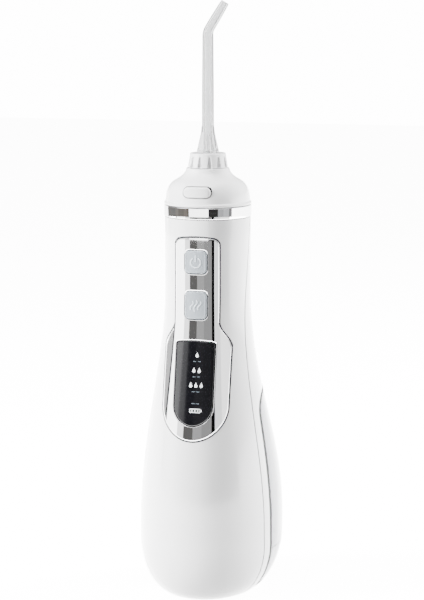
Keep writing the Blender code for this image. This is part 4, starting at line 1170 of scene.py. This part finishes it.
def makeTip():
    low, high = tip["hub"]
    groove, shank = 2.5, tip["shank"]
    profile = [
        (1.5, 221.9),
        (2.75, 221.9),
        (2.95, 221.5),
        (3.2, high),
        (tip["hubRadius"] - 0.1, low + 0.9),
        (tip["hubRadius"], low + 0.5),
        (tip["hubRadius"] - 0.12, low + 0.1),
        (tip["hubRadius"] - 0.35, low),
        (shank, low),
        (shank, 193.3),
        (groove, 193.0),
        (groove, 191.3),
        (shank, 191.0),
        (shank, tip["shankLow"] + 0.4),
        (shank - 0.4, tip["shankLow"]),
        (1.5, tip["shankLow"]),
    ]
    push = groovePush(5.6, 3.95, low - 0.2, high - 1.4, 1.25, 0.8, math.radians(0), 4)
    segment = lathe("jetTip", dense(profile, 0.45), tipClear, 192, 32, push, 4)
    segment.data.transform(Matrix.Rotation(math.radians(90 + tip["turn"]), 4, "Z"))
    hub = ringOf(segment, 4, tipClear, 40)
    route = tipRoute()
    tube = tubeAlong("tipTube", route, along(tip["outside"], len(route)), tipClear)
    ahead = route[-1] + (route[-1] - route[-2]).normalized() * 1.5
    behind = route[0] - Vector((0, 0, 1.0))
    bore = tubeAlong(
        "tipBore", [behind, *route, ahead], [1.5, *along(tip["bore"], len(route)), 0.5], tipClear, 32
    )
    plug = rod("hubPlug", (0, 0, tip["shankLow"] + 0.5), (0, 0, 221.4), 1.6, sides=48)
    combine(hub, [plug, tube], "UNION")
    lowBore = rod("lowBore", (0, 0, tip["shankLow"] - 1), (0, 0, 213.5), 1.4, sides=32)
    combine(hub, [lowBore, bore])
    hand(hub, "nozzle", "tip_frosted", "jet_tip")


makeDial()
makeTip()
print("dial and tip done")

# tank, its bay and the lid

lid = {
    "height": 88.0,
    "half": (8.0, 9.0),
    "corner": 2.5,
    "thickness": 1.7,
    "slope": 0.45,
    "hole": 6.0,
    "barrel": (0.8, 5.0),
    "hingeOut": 0.1,
}


def lidFrame():
    halfWidth, halfDepth, centre = bodySection(lid["height"])
    up = Vector((0, -lid["slope"], 1)).normalized()
    out = Vector((0, 1, lid["slope"])).normalized()
    edge = math.sqrt(1 - (lid["half"][0] / halfWidth) ** 2)
    turned = Matrix((Vector((-1, 0, 0)), up, out)).transposed().to_4x4()
    return Matrix.Translation(Vector((0, centre + halfDepth * edge, lid["height"])) * mm) @ turned


def lidShape(grow=0.0):
    return roundedBox(lid["half"][0], -lid["half"][1], lid["half"][1], lid["corner"], grow)


def onSkin(u, w):
    # where a point of the lid's plane meets the skin when it is moved square to that plane
    spot = lidFrame()
    out = spot.to_3x3() @ Vector((0, 0, 1))
    start = spot @ (Vector((u, w, 0)) * mm) / mm
    near, far = -14.0, 14.0
    for _ in range(36):
        middle = (near + far) / 2
        p = start + out * middle
        halfWidth, halfDepth, centre = bodySection(p.z)
        inside = (p.x / halfWidth) ** 2 + ((p.y - centre) / halfDepth) ** 2 < 1
        near, far = (middle, far) if inside else (near, middle)
    p = start + out * near
    halfWidth, halfDepth, centre = bodySection(p.z)
    return body["girth"] * (math.pi - math.atan2(p.x / halfWidth, (p.y - centre) / halfDepth)), p.z


def lidOutline(grow=0.0):
    return [onSkin(u, w) for u, w in lidShape(grow)]


def tankSolid(grow, bottom):
    side = tankSide(grow, bottom)
    y0, z0 = side[-1]
    rise = math.tan(math.radians(tank["slope"]))
    return [*side, (70, z0 + (70 - y0) * rise), (70, bottom - grow)]


def makeTank():
    wall = tank["wall"]
    cavity = loft("tankCavity", wall, body["bottom"] + wall, body["top"] + 5)
    combine(
        cavity, [prism("tankInside", tankSolid(-wall, tank["bottom"]), rightThrough, sideways)], "INTERSECT"
    )
    thick = prism("lidWall", lidShape(1.6), (-25, 25), lidFrame())
    combine(thick, [loft("lidWallInside", 3.7, body["bottom"], body["top"] + 5)])
    combine(cavity, [thick])
    spare = cavity.copy()
    spare.data = cavity.data.copy()
    bpy.context.scene.collection.objects.link(spare)
    shell = loft("tankShell", 0.0)
    shell.data.materials[0] = tankClear
    combine(
        shell, [prism("tankZone", tankSolid(0.0, tank["joint"] + gap / 2), rightThrough, sideways)], "INTERSECT"
    )
    pocket = prism("lidPocket", lidShape(gap), (-25, 25), lidFrame())
    combine(pocket, [loft("pocketFloor", lid["thickness"] + gap, body["bottom"], body["top"] + 5)])
    hole = rod("fillHole", (0, 0, -12), (0, 0, 12), lid["hole"], sides=64)
    hole.data.transform(lidFrame())
    x, z, radius = tank["outlet"]
    port_ = rod("outletPort", (x, -8, z), (x, 0, z), radius + gap)
    combine(shell, [cavity, pocket, lidBarrel("barrelSpace", gap), hole, port_])
    hand(shell, "tank", "tank_clear", "tank_shell")
    base = loft("tankBase", 0.0)
    base.data.materials[0] = tankClear
    front, low, joint = tank["front"], tank["bottom"], tank["joint"] - gap / 2
    zone = prism("baseZone", [(70, low), (front, low), (front, joint), (70, joint)], rightThrough, sideways)
    combine(combine(base, [zone], "INTERSECT"), [spare])
    hand(base, "tank", "tank_clear", "tank_base")


def lidBarrel(name, grow=0.0):
    radius, half = lid["barrel"]
    x = lid["half"][0] + lid["hingeOut"]
    piece = rod(name, (x, -half - grow, 0.4), (x, half + grow, 0.4), radius + grow, sides=40)
    piece.data.transform(lidFrame())
    return piece


def makeLid():
    edge = [(-0.5, 0.0), (-0.25, 0.04), (-0.07, 0.17), (0.0, 0.4), (0.0, lid["thickness"])]
    rows = list(np.arange(76, 100, 0.8))
    flap = plate("lidFlap", lidOutline, edge, whiteGloss, [], 0.8, rows)
    # a shallow grip bar near the free edge
    grip = plate(
        "lidGrip",
        lambda grow=0.0: [onSkin(u, w) for u, w in roundedBox(1.1, -4.0, 4.0, 1.0, grow)],
        [(-0.5, -0.55), (-0.2, -0.5), (-0.05, -0.3), (0.0, 0.0), (0.0, 0.5)],
        whiteGloss,
    )
    shift = lidFrame() @ Matrix.Translation(Vector((-5.2, 0, 0)) * mm) @ lidFrame().inverted()
    grip.data.transform(shift)
    piece = merged("fillLid", [flap, grip, lidBarrel("lidBarrel")])
    hand(piece, "fill_lid", "white_shell", "fill_lid")


bayScrews = ((-21.0, 28.0), (21.0, 28.0), (-19.5, 84.0), (19.5, 84.0))


def makeBay():
    # the wall behind the tank, with its port and the screws' recesses
    outer = tankSolid(gap + tank["bayWall"], tank["bottom"])
    wall = prism("tankBay", outer, rightThrough, sideways)
    combine(wall, [loft("bayEdge", 0.8, body["bottom"] + 0.8)], "INTERSECT")
    tools = [prism("baySpace", tankSolid(gap + 0.02, tank["bottom"]), rightThrough, sideways)]
    x, z, radius = tank["outlet"]
    tools.append(rod("portWay", (x, -9, z), (x, -4.9, z), 3.6))
    for sx, sz in bayScrews:
        tools.append(rod("screwWay", (sx, -9, sz), (sx, -5, sz), 1.3))
        tools.append(rod("headWay", (sx, -6.7, sz), (sx, -4.5, sz), 1.3, 3.0))
    hand(combine(wall, tools), "handle", "white_shell", "rear_shell")


def makePortCover():
    edge = [(-0.5, 0.0), (-0.25, 0.04), (-0.07, 0.15), (0.0, 0.35), (0.0, port["thickness"])]
    rows = list(np.arange(146, 154, 0.7))
    flap = plate("coverFlap", portOutline, edge, silicone, [], 0.7, rows)
    plug = prism("coverPlug", roundedBox(4.0, 148.2, 151.8, 0.8), (-19.3, -17.7), facingBack, silicone)
    x = -port["half"] - 0.1
    y = math.sqrt(body["neck"] ** 2 - x * x) + 0.25
    barrel = rod("coverBarrel", (x, y, 147.5), (x, y, 152.5), 0.7, sides=40, paint=silicone)
    piece = merged("portCover", [flap, plug, barrel])
    hand(piece, "port_cover", "silicone_white", "port_cover")


foot = {"halfWidth": 13.0, "halfDepth": 16.0, "middle": 2.0, "sides": 96}


def makeFoot():
    # an oval pad with rounded edges, in one closed stack of rings
    levels = [(-0.5, 0.0), (-0.15, 0.06), (0.0, 0.3), (0.0, 1.0), (-0.2, 1.2)]
    shape = bmesh.new()
    rings = []
    for grow, z in levels:
        ring_ = []
        for i in range(foot["sides"]):
            angle = 2 * math.pi * i / foot["sides"]
            x = (foot["halfWidth"] + grow) * math.cos(angle)
            y = foot["middle"] + (foot["halfDepth"] + grow) * math.sin(angle)
            ring_.append(shape.verts.new(Vector((x, y, z)) * mm))
        rings.append(ring_)
    for low, high in zip(rings, rings[1:]):
        for i in range(foot["sides"]):
            j = (i + 1) % foot["sides"]
            shape.faces.new((low[i], low[j], high[j], high[i]))
    shape.faces.new(rings[0][::-1])
    shape.faces.new(rings[-1])
    hand(addPiece("baseFoot", meshFrom("baseFoot", shape), silicone), "handle", "silicone_white", "base_foot")


makeTank()
makeLid()
makeBay()
makePortCover()
makeFoot()
print("tank done")

# the CAD's own pieces inside get their finishes

innerFinishes = {
    "neck_frame nozzle_seat valve_block pump_frame outlet_nipple": innerWhite,
    "nozzle_o_ring tank_port_seal piston_seal inlet_valve outlet_valve": greyRubber,
    "inlet_hose pickup_tube lid_gasket": silicone,
    "release_latch crown_gear piston_yoke pump_cylinder light_guide": acetal,
    "battery_cradle charge_socket power_switch mode_switch": darkNylon,
    "case_screw_1 case_screw_2 case_screw_3 case_screw_4 motor_screw_left motor_screw_right": steel,
    "gear_axle crank_pin motor_shaft pickup_filter": steel,
    "indicator_led_1 indicator_led_2 indicator_led_3 indicator_led_4": ledEpoxy,
    "motor_can": motorMetal,
    "pinion": brass,
    "circuit_board": boardGreen,
    "battery_cell": cellWrap,
    "battery_lead_red": redWire,
    "battery_lead_black": blackWire,
}
for names, paint in innerFinishes.items():
    for name in names.split():
        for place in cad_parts[name].material_slots:
            place.material = paint
print("inner finishes set")

# stage: pale floor and backdrop, soft lights, and curved cards that only mirror rays meet

studio = {
    "world": 0.95,
    "backdrop": 15.0,
    "seenThrough": 1.3,
    "floorGlow": 12.0,
    "lights": (
        ("left", -62, 18, 1.0, 0.45, 0.9, 68),
        ("right", 125, 18, 1.0, 0.45, 0.9, 56),
        ("top", 10, 75, 1.1, 0.5, 0.5, 9),
    ),
    "ringCards": (
        (-180, -107, 7.0, (1, 1, 1)), (-107, -72, 0.25, (1, 0.97, 0.94)), (-72, -62, 0.31, (1, 0.94, 0.88)),
        (-62, -45, 0.22, (1, 0.92, 0.84)), (-45, -34, 0.27, (1, 0.9, 0.8)), (-34, -30.8, 0.02, (1, 1, 1)),
        (-30.8, 16.8, 5.6, (1, 1, 1)), (16.8, 40.2, 0.04, (1, 1, 1)), (40.2, 54, 0.62, (0.95, 0.97, 1)),
        (54, 68.6, 0.8, (0.95, 0.97, 1)), (68.6, 77, 0.3, (1, 1, 1)), (77, 180, 9.0, (1, 1, 1)),
    ),
    "panelCards": (
        (-79, -74, 0.12, (1, 1, 1)), (-74, -46, 6.5, (1, 1, 1)),
        (-46, -32, 2.6, (1, 1, 1)), (-32, -11.9, 0.15, (1, 0.98, 0.96)),
        (-11.9, 6, 0.5, (1, 1, 1)), (6, 25.7, 0.38, (1, 1, 1)),
        (25.7, 32.5, 0.004, (1, 1, 1)), (32.5, 46.4, 1.7, (0.98, 0.99, 1)),
        (46.4, 75, 2.4, (1, 1, 1)),
    ),
    "throughCards": (
        (160, 232, 3.2), (232, 262, 0.2), (262, 300, 2.2), (300, 332, 0.25), (332, 390, 2.2), (390, 425, 0.2),
        (425, 465, 2.2), (465, 520, 0.2),
    ),
}


def glow(name, strength, tone=(1, 1, 1), colour=(0, 0, 0)):
    made = bpy.data.materials.new(name)
    made.use_nodes = True
    shader = made.node_tree.nodes["Principled BSDF"]
    shader.inputs["Base Color"].default_value = (*colour, 1)
    shader.inputs["Roughness"].default_value = 0.9
    shader.inputs["Specular IOR Level"].default_value = 0
    shader.inputs["Emission Color"].default_value = (*tone, 1)
    shader.inputs["Emission Strength"].default_value = strength
    return made


def addStage(name, mesh, paint):
    mesh.materials.append(paint)
    made = bpy.data.objects.new(name, mesh)
    bpy.context.scene.collection.objects.link(made)
    return made


def curvedCard(name, start, end, radius, low, high, strength, tone=(1, 1, 1), through=False):
    # an upright strip round the axis; azimuth 0 is in front of the object and 90 on its right
    count = max(2, round((end - start) / 3))
    spots = []
    for i in range(count + 1):
        turn = math.radians(start + (end - start) * i / count)
        spots += [(radius * math.sin(turn), -radius * math.cos(turn), z) for z in (low, high)]
    mesh = bpy.data.meshes.new(name)
    mesh.from_pydata(spots, [], [(2 * i, 2 * i + 2, 2 * i + 3, 2 * i + 1) for i in range(count)])
    made = addStage(name, mesh, glow(name, strength, tone))
    made.visible_camera = False
    made.visible_diffuse = False
    made.visible_shadow = False
    made.visible_glossy = not through
    made.visible_transmission = through


def areaLight(name, azimuth, elevation, distance, width, tall, power):
    a, e = math.radians(azimuth), math.radians(elevation)
    back = Vector((math.sin(a) * math.cos(e), -math.cos(a) * math.cos(e), math.sin(e)))
    data = bpy.data.lights.new(name, "AREA")
    data.shape = "RECTANGLE"
    data.size, data.size_y = width, tall
    data.energy = power
    made = bpy.data.objects.new(name, data)
    made.location = Vector((0, 0, 0.13)) + back * distance
    made.rotation_euler = (-back).to_track_quat("-Z", "Y").to_euler()
    made.visible_glossy = name == "topLight"
    bpy.context.scene.collection.objects.link(made)


def makeStage():
    world = bpy.data.worlds.new("studio")
    world.use_nodes = True
    world.node_tree.nodes["Background"].inputs["Color"].default_value = (1, 1, 1, 1)
    world.node_tree.nodes["Background"].inputs["Strength"].default_value = studio["world"]
    bpy.context.scene.world = world
    mesh = bpy.data.meshes.new("floor")
    mesh.from_pydata([(-3, -3, 0), (3, -3, 0), (3, 3, 0), (-3, 3, 0)], [], [(0, 1, 2, 3)])
    floor = addStage("floor", mesh, glow("floorPaper", studio["floorGlow"], colour=(0.9, 0.9, 0.9)))
    floor.visible_diffuse = False
    floor.visible_transmission = False
    # one dome is what the camera sees behind the object, the other what shows through its clear pieces
    for name, radius, strength in (
        ("backdrop", 4.2, studio["backdrop"]),
        ("seenThrough", 4.5, studio["seenThrough"]),
    ):
        shape = bmesh.new()
        bmesh.ops.create_uvsphere(shape, u_segments=48, v_segments=24, radius=radius)
        dome = addStage(name, meshFrom(name, shape), glow(name + "Paper", strength))
        dome.visible_diffuse = False
        dome.visible_glossy = False
        dome.visible_shadow = False
        dome.visible_camera = name == "backdrop"
        dome.visible_transmission = name != "backdrop"
    for name, *values in studio["lights"]:
        areaLight(name + "Light", *values)
    for number, (start, end, strength, tone) in enumerate(studio["ringCards"]):
        curvedCard(f"ringCard{number}", start, end, 0.12, 0.158, 0.2, strength, tone)
    for number, (start, end, strength, tone) in enumerate(studio["panelCards"]):
        curvedCard(f"panelCard{number}", start, end, 0.5, -0.1, 0.7, strength, tone)
    for number, (start, end, strength) in enumerate(studio["throughCards"]):
        curvedCard(f"throughCard{number}", start, end, 4.0, -3.0, 4.0, strength, through=True)


makeStage()
print("stage done")
